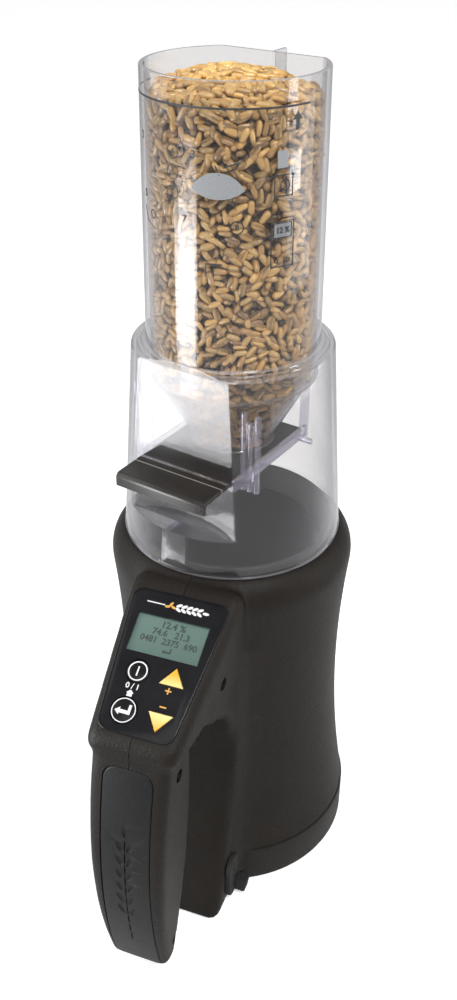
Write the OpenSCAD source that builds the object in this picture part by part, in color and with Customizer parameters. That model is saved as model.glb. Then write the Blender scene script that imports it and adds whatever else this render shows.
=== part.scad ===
// Hand-held grain moisture meter with a clear sample loader standing on top.
// Millimetres, +Z up. The origin is on the axis of the round body, at the plane it stands on.
// The handle and its display point towards -Y.

/* [Body] */
// Radius of the round body at its foot
base_r = 61; // [59:0.5:63]
// Height of the base cap band
base_h = 22; // [18:1:24]
// Radius of the body just under its shoulder
shoulder_r = 56.3; // [55.5:0.1:57.5]
// How far the flank draws in between foot and shoulder
waist_sag = 5.1; // [3:0.1:6]
// Height of the body's flat top, where the loader rests
body_top = 184; // [183:0.5:185]
// Wall thickness of the moulded shells
wall = 3; // [2.5:0.1:3.2]

/* [Handle] */
// Slope of the display panel below the horizontal, in degrees
panel_slope = 30; // [28:1:32]
// Length of the glossy panel down the slope
panel_len = 62.6; // [60:0.2:64]
// Half the width of the glossy panel at its upper end
panel_half_top = 22; // [21:0.5:22.5]
// Half the width of the glossy panel at its lower end
panel_half_low = 16.3; // [15.5:0.1:17]
// Key travel, in millimetres
key_travel = 0.8; // [0.5:0.1:0.9]

/* [Loader] */
// Turn of the loader about the body's axis, in degrees
loader_turn = -13; // [-20:1:0]
// Outer radius of the measuring tube at its rim
tube_r = 36; // [35:0.5:36.5]
// Height of the tube's rim
tube_top = 385.3; // [370:0.5:395]
// Thickness of the clear walls
clear_wall = 1.9; // [1.7:0.1:2.1]
// Radius of the funnel's outlet
outlet_r = 17.6; // [15:0.1:18.5]
// Half the width of the gate's plate
gate_half = 22.5; // [20:0.5:22.5]
// How far the gate's lever stands out of the flat face
lever_reach = 16.5; // [12:0.5:20]

/* [Test cell] */
// Inner radius of the measuring cup
cup_r = 40; // [36:0.5:40]
// Height of the cup's floor
cup_floor = 95; // [93:1:110]

/* [Hidden] */
$fn = 96;

black_plastic = [0.13, 0.125, 0.12];
clear_plastic = [0.86, 0.88, 0.92, 0.35];
big = 300;

// Height and slope of the display panel's plane, and the clearance left around loose pieces
panel_y = -60.8;
panel_z = 180.2;
panel_skin = 0.9;
gap = 0.3;

// Body flank
flank_z = 168;
top_edge_r = 50;
mouth_hole_r = 48;
seam_gap = 0.4;

// Web between body and base of the handle, and the hanging grip
foot_lift = 0.8;
web_toe = -83.5;
web_neck = -55.3;
web_neck_z = 92;
web_half = 23.5;
// Edge of the finger gap from the web up to the head: [y, z]
arch_line = [[-56.7, 101.5], [-60.6, 112.2], [-64.1, 118], [-68.5, 122.8], [-73.6, 127], [-79.5, 130.8], [-85, 133.8], [-90, 138]];
head_floor = 137;
grip_floor = 14;
grip_levels = 5;
grip_round = 6;
door_half = 11.3;
door_floor = 15.5;
door_top = 135;
door_t = 2.2;

// Battery cells, size AAA
cell_r = 5.2;
cell_len = 44.5;
cell_y = -116.2;
cell_z = 33;

// Screws across the two shells: [y, z, half width of the shell there]
shell_screws = [[-74, 149.5, 24.3], [-110.5, 128.5, 17.7], [-113.5, 24.5, 13.9]];
base_screw_angles = [40, 140, 220, 320];
base_screw_r = 53.2;

// Feet: one in the middle of the base and four near its rim
foot_r = 6;
foot_spots = concat([[0, 0]], [for (a = base_screw_angles) 50 * [cos(a + 20), sin(a + 20)]]);

// Loader heights and radii
collar_foot_z = 184;
collar_foot_r = 50;
shoulder_low_z = 274.9;
shoulder_low_r = 43.2;
shoulder_top_z = 277.1;
shoulder_top_r = 37.2;
tube_flat_y = 27.1;
fin_y = 36.4;
face_top_y = -37.45;
face_low_y = -40;
face_low_z = 206.3;
ledge_z = 203;
gate_z = 226.5;
gate_t = 2;
gate_back = 22;
lip_drop = 6;
funnel_r = 35.4;
funnel_knee_z = 261;
funnel_low_z = 229;

// Data port on the side of the web
port_y = -64;
port_z = 15;

// Points of a circular arc from a to b that bows to its right-hand side by sag
function arc_points(a, b, sag, n) =
    let (half = norm(b - a) / 2)
    let (r = (half * half + sag * sag) / (2 * sag))
    let (along = (b - a) / (2 * half))
    let (centre = (a + b) / 2 - [along[1], -along[0]] * (r - sag))
    let (sweep = 2 * asin(half / r))
    [for (i = [0:n]) centre + turned(a - centre, sweep * i / n)];

// A flat vector turned anticlockwise by an angle
function turned(v, angle) = [
    v[0] * cos(angle) - v[1] * sin(angle),
    v[0] * sin(angle) + v[1] * cos(angle)
];

// Front and rear surface of the grip at a height, as circular arcs seen from the side
function arc_y(z, y_low, y_high, sag) =
    let (half = (head_floor - grip_floor) / 2)
    let (s = (z - grip_floor - half) / half)
    let (straight = y_low + (y_high - y_low) * (s + 1) / 2)
    straight + sag * (1 - s * s);
function grip_front(z) = arc_y(z, -122.5, -120, -9);
function grip_rear(z) = arc_y(z, -110.5, -95.5, 3.5);
function grip_half(z) = arc_y(z, 13.2, 18, 1);

// ---------------------------------------------------------------- shared shapes

// Places its children on the sloping display panel: local -Y runs down the slope
module on_panel() {
    translate([0, panel_y, panel_z]) rotate([panel_slope, 0, 0]) children();
}

// Turns its children with the loader
module on_loader() {
    rotate([0, 0, loader_turn]) children();
}

module body_outline(inset) {
    flank_start = [base_r - 0.5 - inset, base_h + seam_gap];
    flank_end = [shoulder_r - inset, flank_z];
    top_end = [top_edge_r - inset, body_top - inset];
    polygon(concat(
        [[0, base_h + seam_gap]],
        arc_points(flank_start, flank_end, -waist_sag, 12),
        arc_points(flank_end, top_end, 2.6, 6),
        [[0, body_top - inset]]
    ));
}

module rounded_plate(half, y_low, y_high, z_low, height, round_r) {
    translate([0, 0, z_low]) linear_extrude(height) hull() {
        for (x = [-half + round_r, half - round_r], y = [y_low + round_r, y_high - round_r]) {
            translate([x, y]) circle(round_r, $fn = 32);
        }
    }
}

// ---------------------------------------------------------------- housing shells

module head_block() {
    corner = 5;
    hull() {
        on_panel() for (side = [-1, 1]) {
            translate([side * 21, 4, -corner]) sphere(corner, $fn = 32);
            translate([side * 15.6, -64, -corner]) sphere(corner, $fn = 32);
        }
        for (side = [-1, 1]) {
            translate([side * 15.6, -115, head_floor + corner]) sphere(corner, $fn = 32);
            translate([side * 20, -50, head_floor + corner]) sphere(corner, $fn = 32);
        }
    }
}

module grip_ring(z) {
    half = grip_half(z);
    for (x = [-half + grip_round, half - grip_round]) {
        for (y = [grip_front(z) + grip_round, grip_rear(z) - grip_round]) {
            translate([x, y, z - 0.05]) cylinder(r = grip_round, h = 0.1, $fn = 32);
        }
    }
}

module grip_block() {
    step = (head_floor + 4 - grip_floor) / grip_levels;
    for (i = [0:grip_levels - 1]) {
        hull() {
            grip_ring(grip_floor + 0.05 + step * i);
            grip_ring(grip_floor + 0.05 + step * (i + 1));
        }
    }
}

// Side view of the web: a toe at the foot, a hollow front and an arch under the head
module web_block(inset) {
    toe = [web_toe + inset, foot_lift + inset];
    neck = [web_neck + inset, web_neck_z];
    half = web_half - inset;
    translate([-half, 0, 0]) rotate([90, 0, 90]) linear_extrude(2 * half) polygon(concat(
        [[-40, foot_lift + inset]],
        arc_points(toe, neck, 4.2, 8),
        arch_line,
        [[-90, head_floor + 8], [-40, head_floor + 8]]
    ));
}

module door_outline(grow) {
    corner = 6;
    half = door_half + grow;
    translate([0, -140, 0]) rotate([-90, 0, 0]) linear_extrude(30) union() {
        translate([-half, -(door_top - corner)]) square([2 * half, door_top - corner - door_floor + grow]);
        translate([-(half - corner), -(door_top + grow)]) square([2 * (half - corner), corner + grow + 1]);
        for (side = [-1, 1]) {
            translate([side * (half - corner), -(door_top + grow - corner)]) circle(corner);
        }
    }
}

// Curved strip that follows the grip's front, between two depths under its surface
module front_strip(from, to) {
    z_low = grip_floor - 4;
    z_high = head_floor + 1;
    steps = 14;
    dz = (z_high - z_low) / steps;
    outer = [for (i = [0:steps]) [grip_front(z_low + dz * i) + from, z_low + dz * i]];
    inner = [for (i = [steps:-1:0]) [grip_front(z_low + dz * i) + to, z_low + dz * i]];
    translate([-20, 0, 0]) rotate([90, 0, 90]) linear_extrude(40) polygon(concat(outer, inner));
}

module housing_solid() {
    rotate_extrude() body_outline(0);
    difference() {
        web_block(0);
        cylinder(r = base_r + seam_gap, h = base_h + seam_gap);
        translate([0, 0, body_top]) cylinder(r = 200, h = 50);
    }
    head_block();
    grip_block();
}

module housing_hollows() {
    rotate_extrude() body_outline(wall);
    translate([0, 0, base_h - 1]) cylinder(r = base_r - 4.5, h = 5);
    translate([0, 0, body_top - wall - 1]) cylinder(r = mouth_hole_r, h = 10);
    // Web: open to the body's inside
    intersection() {
        web_block(wall);
        translate([-50, -100, 0]) cube([100, 55, web_neck_z]);
    }
    // Way for the ribbon from the body up into the head
    translate([-16, -51.5, web_neck_z - 5]) cube([32, 8, 60]);
    translate([-16, -64, head_floor + 9]) cube([32, 14, 19]);
    // Head: shallow under the keys, deep behind the display
    on_panel() {
        translate([-19.5, -31, -22]) cube([39, 34, 19.6]);
        translate([-15.2, -60.8, -8.6]) cube([30.4, 32, 6.2]);
        translate([-19.5, -31, -5]) cube([39, 23, 10]);
        translate([-15, -60.8, -5]) cube([30, 31, 10]);
        panel_outline(gap / 2, -panel_skin, 5);
    }
    // Grip: battery bay behind the door
    translate([-door_half + 0.2, -126, cell_z - 2.4]) cube([2 * door_half - 0.4, 16.4, 2 * cell_len + 5]);
    intersection() {
        front_strip(-8, door_t + 0.1);
        door_outline(gap);
    }
    // Data port
    translate([web_half - 8, port_y - 4.5, port_z - 7]) cube([20, 9, 14]);
}

module shell_bosses() {
    for (s = shell_screws) {
        translate([-s[2] + 2, s[0], s[1]]) rotate([0, 90, 0]) cylinder(r = 3.3, h = 2 * s[2] - 4);
    }
    for (a = base_screw_angles) {
        rotate([0, 0, a]) translate([base_screw_r, 0, base_h + seam_gap]) cylinder(r = 4, h = 16);
    }
}

module shell_bores() {
    for (s = shell_screws) {
        translate([-12, s[0], s[1]]) rotate([0, 90, 0]) cylinder(r = 1.25, h = 12);
        translate([0, s[0], s[1]]) rotate([0, 90, 0]) cylinder(r = 1.7, h = 40);
        translate([s[2] - 5, s[0], s[1]]) rotate([0, 90, 0]) cylinder(r = 3, h = 20);
    }
    for (a = base_screw_angles) {
        rotate([0, 0, a]) translate([base_screw_r, 0, base_h]) cylinder(r = 1.25, h = 13);
    }
}

module housing_half(side) {
    color(black_plastic) intersection() {
        translate([side > 0 ? 0 : -big, -big / 2, 0]) cube([big, big, big]);
        difference() {
            union() {
                difference() {
                    housing_solid();
                    housing_hollows();
                }
                shell_bosses();
            }
            shell_bores();
        }
    }
}

module housing_left() {
    housing_half(-1);
}

module housing_right() {
    housing_half(1);
}

// ---------------------------------------------------------------- base

module base_cap() {
    color(black_plastic) difference() {
        union() {
            difference() {
                translate([0, 0, foot_lift]) cylinder(r = base_r, h = base_h - foot_lift);
                translate([0, 0, foot_lift + wall]) cylinder(r = base_r - wall, h = base_h);
            }
            for (a = base_screw_angles) {
                rotate([0, 0, a]) translate([base_screw_r, 0, foot_lift + 1]) cylinder(r = 4.5, h = base_h - foot_lift - 1);
            }
            for (x = [-2, 36], y = [-22, 22]) {
                translate([x, y, foot_lift + 1]) cylinder(r = 3, h = 11 - foot_lift);
            }
        }
        for (a = base_screw_angles) {
            rotate([0, 0, a]) translate([base_screw_r, 0, -1]) cylinder(r = 1.7, h = base_h + 5);
            rotate([0, 0, a]) translate([base_screw_r, 0, -1]) cylinder(r = 3.2, h = 7);
        }
        for (spot = foot_spots) {
            translate([spot[0], spot[1], -1]) cylinder(r = foot_r + 0.1, h = 3.2);
        }
        for (x = [-2, 36], y = [-22, 22]) {
            translate([x, y, 5]) cylinder(r = 1, h = 20);
        }
    }
}

module base_feet() {
    color([0.08, 0.08, 0.08]) for (spot = foot_spots) {
        translate([spot[0], spot[1], 0]) cylinder(r = foot_r, h = 2.2);
    }
}

module base_screws() {
    color("silver") for (a = base_screw_angles) {
        rotate([0, 0, a]) translate([base_screw_r, 0, 3.6]) {
            cylinder(r = 2.9, h = 2.3);
            cylinder(r = 1.25, h = 28);
        }
    }
}

// ---------------------------------------------------------------- test cell

module cell_ring() {
    color([0.1, 0.1, 0.1]) rotate_extrude() polygon([
        [cup_r + 0.2, 177.5], [cup_r + 2.2, 177.5], [cup_r + 4.4, 174], [50, 174], [50, 176.5],
        [mouth_hole_r - 0.5, 176.5],
        [mouth_hole_r - 0.5, body_top + 2.5], [mouth_hole_r - 2, body_top + 4],
        [mouth_hole_r - 3, body_top + 4]
    ]);
}

module test_cell() {
    color([0.75, 0.76, 0.78]) difference() {
        translate([0, 0, cup_floor - 3]) cylinder(r = cup_r + 1.5, h = 176.8 - cup_floor + 3);
        translate([0, 0, cup_floor]) cylinder(r = cup_r, h = 100);
        translate([0, 0, cup_floor - 5]) cylinder(r = 12, h = 10);
        translate([24, 0, cup_floor - 5]) cylinder(r = 2, h = 10);
    }
}

module cell_insulator() {
    color("ivory") difference() {
        union() {
            translate([0, 0, cup_floor - 3]) cylinder(r = 12, h = 3);
            translate([0, 0, cup_floor]) cylinder(r = 14, h = 2);
        }
        translate([0, 0, cup_floor - 5]) cylinder(r = 7, h = 12);
    }
}

module cell_electrode() {
    color([0.7, 0.7, 0.72]) {
        translate([0, 0, cup_floor - 3]) cylinder(r = 7, h = 53);
        translate([0, 0, cup_floor + 50]) sphere(7);
    }
}

module temperature_probe() {
    color("silver") {
        translate([24, 0, cup_floor - 3]) cylinder(r = 2, h = 20);
        translate([24, 0, cup_floor + 17]) sphere(2);
    }
}

// Soft ring in the narrow gap under the mouth that keeps dust out without carrying load
module cell_seal() {
    color([0.2, 0.2, 0.2]) difference() {
        translate([0, 0, 169]) cylinder(r = cup_r + 3.5, h = 4);
        translate([0, 0, 168]) cylinder(r = cup_r + 1.5, h = 6);
    }
}

module cell_platform() {
    color([0.6, 0.61, 0.63]) difference() {
        union() {
            translate([0, 0, 86]) cylinder(r = 36, h = cup_floor - 3 - 86);
            translate([16, -8, 79]) cube([14, 16, 8]);
        }
        translate([0, 0, 80]) cylinder(r = 12, h = 20);
        translate([24, 0, 84]) cylinder(r = 2.2, h = 20);
        translate([19.5, 0, 70]) cylinder(r = 1.65, h = 20);
    }
}

module load_cell() {
    color([0.8, 0.8, 0.82]) difference() {
        translate([-31, -6.4, 66]) cube([61, 12.8, 13]);
        for (x = [-4.4, 4.4]) {
            translate([x, 10, 72.5]) rotate([90, 0, 0]) cylinder(r = 5, h = 20);
        }
        for (x = [-26, -19.5, 19.5]) {
            translate([x, 0, 60]) cylinder(r = 1.65, h = 30);
        }
    }
}

module load_cell_bracket() {
    color([0.55, 0.56, 0.58]) difference() {
        union() {
            translate([-34, -12, foot_lift + wall]) cube([20, 24, 4]);
            translate([-32, -8, foot_lift + wall + 4]) cube([16, 16, 66 - foot_lift - wall - 4]);
        }
        for (x = [-26, -19.5]) {
            translate([x, 0, 50]) cylinder(r = 1.4, h = 30);
        }
        translate([-28, -20, 20]) cube([8, 40, 34]);
    }
}

module load_cell_screws() {
    color("silver") {
        for (x = [-26, -19.5]) {
            translate([x, 0, 56]) cylinder(r = 1.35, h = 23);
            translate([x, 0, 79]) cylinder(r = 2.8, h = 2.5);
        }
        translate([19.5, 0, 66]) cylinder(r = 1.6, h = 18);
        translate([19.5, 0, 63.5]) cylinder(r = 2.8, h = 2.5);
    }
}

// ---------------------------------------------------------------- electronics

module main_board() {
    color([0.05, 0.3, 0.15]) difference() {
        translate([-6, -26, 12]) cube([46, 52, 1.6]);
        for (x = [-2, 36], y = [-22, 22]) {
            translate([x, y, 10]) cylinder(r = 1.2, h = 6);
        }
    }
}

module main_board_parts() {
    color([0.15, 0.15, 0.16]) {
        translate([8, -8, 13.6]) cube([14, 14, 1.6]);
        translate([26, -14, 13.6]) cube([8, 6, 1.5]);
        translate([6, 12, 13.6]) cube([10, 8, 1.5]);
        translate([28, 8, 13.6]) cylinder(r = 4, h = 9);
        translate([-5, -19.6, 13.6]) cube([20, 5, 5.6]);
    }
}

module board_screws() {
    color("silver") for (x = [-2, 36], y = [-22, 22]) {
        translate([x, y, 13.6]) cylinder(r = 1.9, h = 1.5);
        translate([x, y, 6]) cylinder(r = 1, h = 8);
    }
}

module display_board() {
    color([0.05, 0.3, 0.15]) on_panel() union() {
        translate([-18.5, -30.5, -8]) cube([37, 23, 1.6]);
        translate([-14.5, -60, -8]) cube([29, 29.6, 1.6]);
    }
}

module lcd_module() {
    color([0.45, 0.53, 0.5]) on_panel() translate([-18, -30, -6.4]) cube([36, 21.5, 5.2]);
}

module lcd_lens() {
    color([0.6, 0.68, 0.64, 0.6]) on_panel() translate([-16.1, -28, -panel_skin]) cube([32.2, 17.2, panel_skin + 0.1]);
}

module key_switches() {
    color([0.3, 0.3, 0.3]) on_panel() {
        for (p = [[-7.5, -36.4], [-7.5, -53.7], [8.3, -36.2], [8.2, -53.6]]) {
            translate([p[0] - 2.6, p[1] - 2.6, -6.4]) cube([5.2, 5.2, 2]);
            translate([p[0], p[1], -4.5]) cylinder(r = 1.5, h = 1.5);
        }
    }
}

// Flat ribbon from the display board, down between the cup and the shell, to the main board
module ribbon_cable() {
    t = 0.8;
    route = [[-66.5, 165], [-58, 152], [-47, 144], [-47, 30], [-40, 21], [-20, 18.6]];
    color([0.55, 0.55, 0.58]) translate([-4, 0, 0]) rotate([90, 0, 90]) linear_extrude(18) {
        polygon(concat(route, [for (i = [len(route) - 1:-1:0]) route[i] + [t * 0.7, t]]));
    }
}

module buzzer() {
    color([0.1, 0.1, 0.1]) on_panel() translate([10, -22, -14]) cylinder(r = 6, h = 6);
}

module data_port() {
    color("silver") translate([web_half - wall - 7, port_y - 4, port_z - 4.5]) difference() {
        cube([9, 8, 9]);
        translate([2, 1, 1]) cube([9, 6, 7]);
    }
}

// ---------------------------------------------------------------- display panel and keys

module panel_outline(grow, z_low, height) {
    corner = 5;
    top = panel_half_top - corner + grow;
    low = panel_half_low - corner + grow;
    translate([0, 0, z_low]) linear_extrude(height) hull() for (side = [-1, 1]) {
        translate([side * top, -corner + grow]) circle(corner, $fn = 32);
        translate([side * low, -panel_len + corner - grow]) circle(corner, $fn = 32);
    }
}

module triangle_shape(grow) {
    polygon([[-5.4 - 1.7 * grow, -2.6 - grow], [5.4 + 1.7 * grow, -2.6 - grow], [0, 5.1 + 2 * grow]]);
}

module keypad_overlay() {
    color([0.06, 0.06, 0.06]) on_panel() difference() {
        panel_outline(0, -panel_skin, panel_skin + gap);
        translate([-16.2, -28.1, -5]) cube([32.4, 17.4, 10]);
        translate([-7.5, -36.4, -5]) cylinder(r = 5.3, h = 10);
        translate([-7.5, -53.7, -5]) cylinder(r = 6, h = 10);
        translate([8.3, -36.2, -5]) linear_extrude(10) triangle_shape(gap);
        translate([8.2, -53.6, -5]) mirror([0, 1, 0]) linear_extrude(10) triangle_shape(gap);
    }
}

module round_key(x, y, r) {
    on_panel() translate([x, y, 0]) {
        translate([0, 0, -1.9]) cylinder(r = r, h = 2.3);
        translate([0, 0, -2]) cylinder(r = r + 0.9, h = 0.7);
    }
}

module key_power() {
    color([0.08, 0.08, 0.08]) round_key(-7.5, -36.4, 5);
}

module key_enter() {
    color([0.08, 0.08, 0.08]) round_key(-7.5, -53.7, 5.7);
}

module triangle_key(x, y, flip) {
    on_panel() translate([x, y, 0]) mirror([0, flip, 0]) {
        translate([0, 0, -1.9]) linear_extrude(2.4) triangle_shape(0);
        translate([0, 0, -2]) linear_extrude(0.7) triangle_shape(0.6);
    }
}

module key_up() {
    color([0.95, 0.7, 0.15]) triangle_key(8.3, -36.2, 0);
}

module key_down() {
    color([0.95, 0.7, 0.15]) triangle_key(8.2, -53.6, 1);
}

// ---------------------------------------------------------------- grip

module battery_door() {
    color([0.15, 0.15, 0.15]) intersection() {
        front_strip(0, door_t);
        door_outline(0);
    }
}

module battery_tray() {
    color([0.12, 0.12, 0.12]) difference() {
        translate([-10.9, cell_y - 5, cell_z - 2.2]) cube([21.8, 11.4, 2 * cell_len + 4.6]);
        for (x = [-cell_r - 0.1, cell_r + 0.1]) {
            translate([x, cell_y, cell_z - 1]) cylinder(r = cell_r + 0.05, h = 2 * cell_len + 2.2);
        }
        translate([-10.4, cell_y - 8, cell_z - 1]) cube([20.8, 8, 2 * cell_len + 2.2]);
        translate([-9.5, cell_y - 4, cell_z - 1]) cube([19, 8, 0.6]);
    }
}

module batteries() {
    color([0.75, 0.55, 0.2]) for (x = [-cell_r - 0.1, cell_r + 0.1], i = [0, 1]) {
        translate([x, cell_y, cell_z + i * cell_len]) {
            cylinder(r = cell_r, h = cell_len - 1.2);
            translate([0, 0, cell_len - 1.3]) cylinder(r = 1.9, h = 1.1);
        }
    }
}

module battery_contacts() {
    color("gold") {
        translate([-9, cell_y - 3.5, cell_z - 0.9]) cube([18, 7, 0.4]);
        for (x = [-9, 1.6]) {
            translate([x, cell_y - 3.5, cell_z + 2 * cell_len + 0.6]) cube([7.4, 7, 0.4]);
        }
    }
}

module housing_screws() {
    color("silver") for (s = shell_screws) {
        translate([-8, s[0], s[1]]) rotate([0, 90, 0]) cylinder(r = 1.25, h = s[2] + 3);
        translate([s[2] - 5, s[0], s[1]]) rotate([0, 90, 0]) cylinder(r = 2.7, h = 2);
    }
}

// ---------------------------------------------------------------- port plug

module port_plug() {
    color([0.1, 0.1, 0.1]) {
        translate([web_half + 0.1, port_y, port_z]) rotate([0, 90, 0]) linear_extrude(2.2) union() {
            for (side = [-1, 1]) {
                translate([side * 6.5, 0]) circle(6.2);
            }
            translate([-6.5, -6.2]) square([13, 12.4]);
        }
        translate([web_half - 3.5, port_y - 2.8, port_z - 3.3]) cube([4, 5.6, 6.6]);
        translate([web_half + 2.2, port_y + 0.2, port_z - 11.5]) cube([6.6, 5.6, 7.5]);
    }
}

// ---------------------------------------------------------------- loader

// Everything behind the sloping flat face, above the ledge; inset moves it inwards
module behind_face(inset) {
    slope = (face_low_y - face_top_y) / (shoulder_low_z - face_low_z);
    y_at_ledge = face_top_y + slope * (shoulder_low_z - ledge_z) + inset;
    y_at_top = face_top_y - slope * (tube_top + 20 - shoulder_low_z) + inset;
    translate([-80, 0, 0]) rotate([90, 0, 90]) linear_extrude(160) polygon([
        [-80, 0], [-80, ledge_z - inset], [y_at_ledge, ledge_z - inset],
        [y_at_top, tube_top + 20], [80, tube_top + 20], [80, 0]
    ]);
}

module collar_solid() {
    rotate_extrude() polygon([
        [0, collar_foot_z], [collar_foot_r, collar_foot_z], [shoulder_low_r, shoulder_low_z],
        [shoulder_top_r, shoulder_top_z], [0, shoulder_top_z]
    ]);
}

module collar_hollow() {
    rotate_extrude() polygon([
        [0, collar_foot_z - 1], [collar_foot_r - clear_wall, collar_foot_z - 1],
        [collar_foot_r - clear_wall, collar_foot_z],
        [shoulder_low_r - clear_wall, shoulder_low_z - clear_wall], [0, shoulder_low_z - clear_wall]
    ]);
}

module tube_part(r_low, r_top, flat_y, z_low, z_high) {
    intersection() {
        translate([0, 0, z_low]) cylinder(r1 = r_low, r2 = r_top, h = z_high - z_low);
        translate([-big / 2, -big, 0]) cube([big, big + flat_y, 2 * big]);
    }
}

module loader_shell() {
    color(clear_plastic) on_loader() difference() {
        union() {
            intersection() {
                difference() {
                    collar_solid();
                    intersection() {
                        collar_hollow();
                        behind_face(clear_wall);
                    }
                }
                behind_face(0);
            }
            tube_part(shoulder_top_r, tube_r, tube_flat_y, shoulder_top_z, tube_top);
            translate([-0.8, tube_flat_y - 0.5, shoulder_top_z - 1]) {
                cube([1.6, fin_y - tube_flat_y + 0.5, tube_top - shoulder_top_z + 1]);
            }
        }
        tube_part(shoulder_top_r - clear_wall, tube_r - clear_wall, tube_flat_y - clear_wall,
            shoulder_low_z - 10, tube_top + 1);
        // Slot that the gate slides through
        translate([-gate_half - gap, -50, gate_z - 0.2]) cube([2 * (gate_half + gap), 25, gate_t + 0.4]);
    }
}

module funnel() {
    top_z = shoulder_low_z - clear_wall;
    t = 1.7;
    color(clear_plastic) on_loader() rotate_extrude() polygon([
        [funnel_r, top_z], [funnel_r - t, top_z], [funnel_r - t, funnel_knee_z + 0.4],
        [outlet_r, funnel_low_z + 4], [outlet_r, funnel_low_z], [outlet_r + t, funnel_low_z],
        [outlet_r + t, funnel_low_z + 3.4], [funnel_r, funnel_knee_z]
    ]);
}

// One of the two guides: a rail under the plate's edge, a notched front post and a thin rear post
module gate_guide() {
    rail_x = gate_half + gap;
    post_top = 260;
    difference() {
        union() {
            translate([rail_x, -36, gate_z - 2.2]) cube([1.8, 60, 5.4]);
            translate([rail_x - 2.2, -36, gate_z - 2.2]) cube([3, 60, 1.9]);
            for (x = [rail_x, rail_x + 4.4]) {
                translate([x, -30, gate_z - 3.6]) cube([2.6, 2.6, post_top - gate_z + 3.6]);
            }
            translate([rail_x, -29.2, gate_z + 3.2]) cube([7, 1, post_top - gate_z - 8]);
            translate([rail_x, 19.5, gate_z - 3.6]) cube([4, 1.6, post_top - gate_z - 1]);
        }
        translate([0, 0, funnel_knee_z]) cylinder(r = funnel_r + 0.05, h = 10);
        translate([0, 0, funnel_low_z]) {
            cylinder(r1 = outlet_r + 1.8, r2 = funnel_r + 0.05, h = funnel_knee_z - funnel_low_z + 0.01);
        }
    }
}

module gate_guides() {
    color(clear_plastic) on_loader() {
        gate_guide();
        mirror([1, 0, 0]) gate_guide();
    }
}

module gate_slide() {
    face_y = face_low_y + 0.7;
    bend = 2.4;
    tip = face_y - lever_reach;
    top = gate_z + gate_t;
    profile = concat(
        [[gate_back, gate_z], [gate_back, top]],
        [for (a = [0:15:90]) [tip + bend - bend * sin(a), top - bend + bend * cos(a)]],
        [[tip, top - lip_drop], [tip + 1.8, top - lip_drop], [tip + 1.8, gate_z]]
    );
    color([0.05, 0.05, 0.05]) on_loader() {
        translate([-gate_half, 0, 0]) rotate([90, 0, 90]) linear_extrude(2 * gate_half) polygon(profile);
    }
}

// ---------------------------------------------------------------- nodes

housing_left();
housing_right();
base_cap();
base_feet();
cell_ring();
test_cell();
cell_electrode();
cell_insulator();
temperature_probe();
cell_seal();
cell_platform();
load_cell();
load_cell_bracket();
load_cell_screws();
main_board();
main_board_parts();
display_board();
lcd_module();
lcd_lens();
keypad_overlay();
key_power();
key_enter();
key_up();
key_down();
key_switches();
ribbon_cable();
buzzer();
battery_door();
battery_tray();
batteries();
battery_contacts();
housing_screws();
base_screws();
board_screws();
data_port();
port_plug();
loader_shell();
funnel();
gate_guides();
gate_slide();
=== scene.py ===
from math import asin, atan2, cos, hypot, pi, radians, sin, sqrt

import bmesh
import bpy
import numpy as np
from mathutils import Matrix, Vector
from mathutils.kdtree import KDTree


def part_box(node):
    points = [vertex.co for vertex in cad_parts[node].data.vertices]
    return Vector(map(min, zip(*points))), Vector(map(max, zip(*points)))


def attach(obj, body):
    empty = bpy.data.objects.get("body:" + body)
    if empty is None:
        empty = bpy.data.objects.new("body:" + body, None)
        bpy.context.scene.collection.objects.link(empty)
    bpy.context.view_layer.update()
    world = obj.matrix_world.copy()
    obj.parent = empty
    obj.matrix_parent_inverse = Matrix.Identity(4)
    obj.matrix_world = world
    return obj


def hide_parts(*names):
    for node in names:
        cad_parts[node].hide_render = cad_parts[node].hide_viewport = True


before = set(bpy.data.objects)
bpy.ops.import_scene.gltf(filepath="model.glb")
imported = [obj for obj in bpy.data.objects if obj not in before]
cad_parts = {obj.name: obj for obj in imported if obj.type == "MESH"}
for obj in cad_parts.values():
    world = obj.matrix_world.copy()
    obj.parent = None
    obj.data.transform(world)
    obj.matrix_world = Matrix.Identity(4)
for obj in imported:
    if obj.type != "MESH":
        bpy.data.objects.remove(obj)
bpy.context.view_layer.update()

# ---------------------------------------------------------------- studio
# A plain white table that the meter stands on, lit by large soft lamps. The finishes
# of this file are all made with the Wire class that is defined here.


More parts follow.
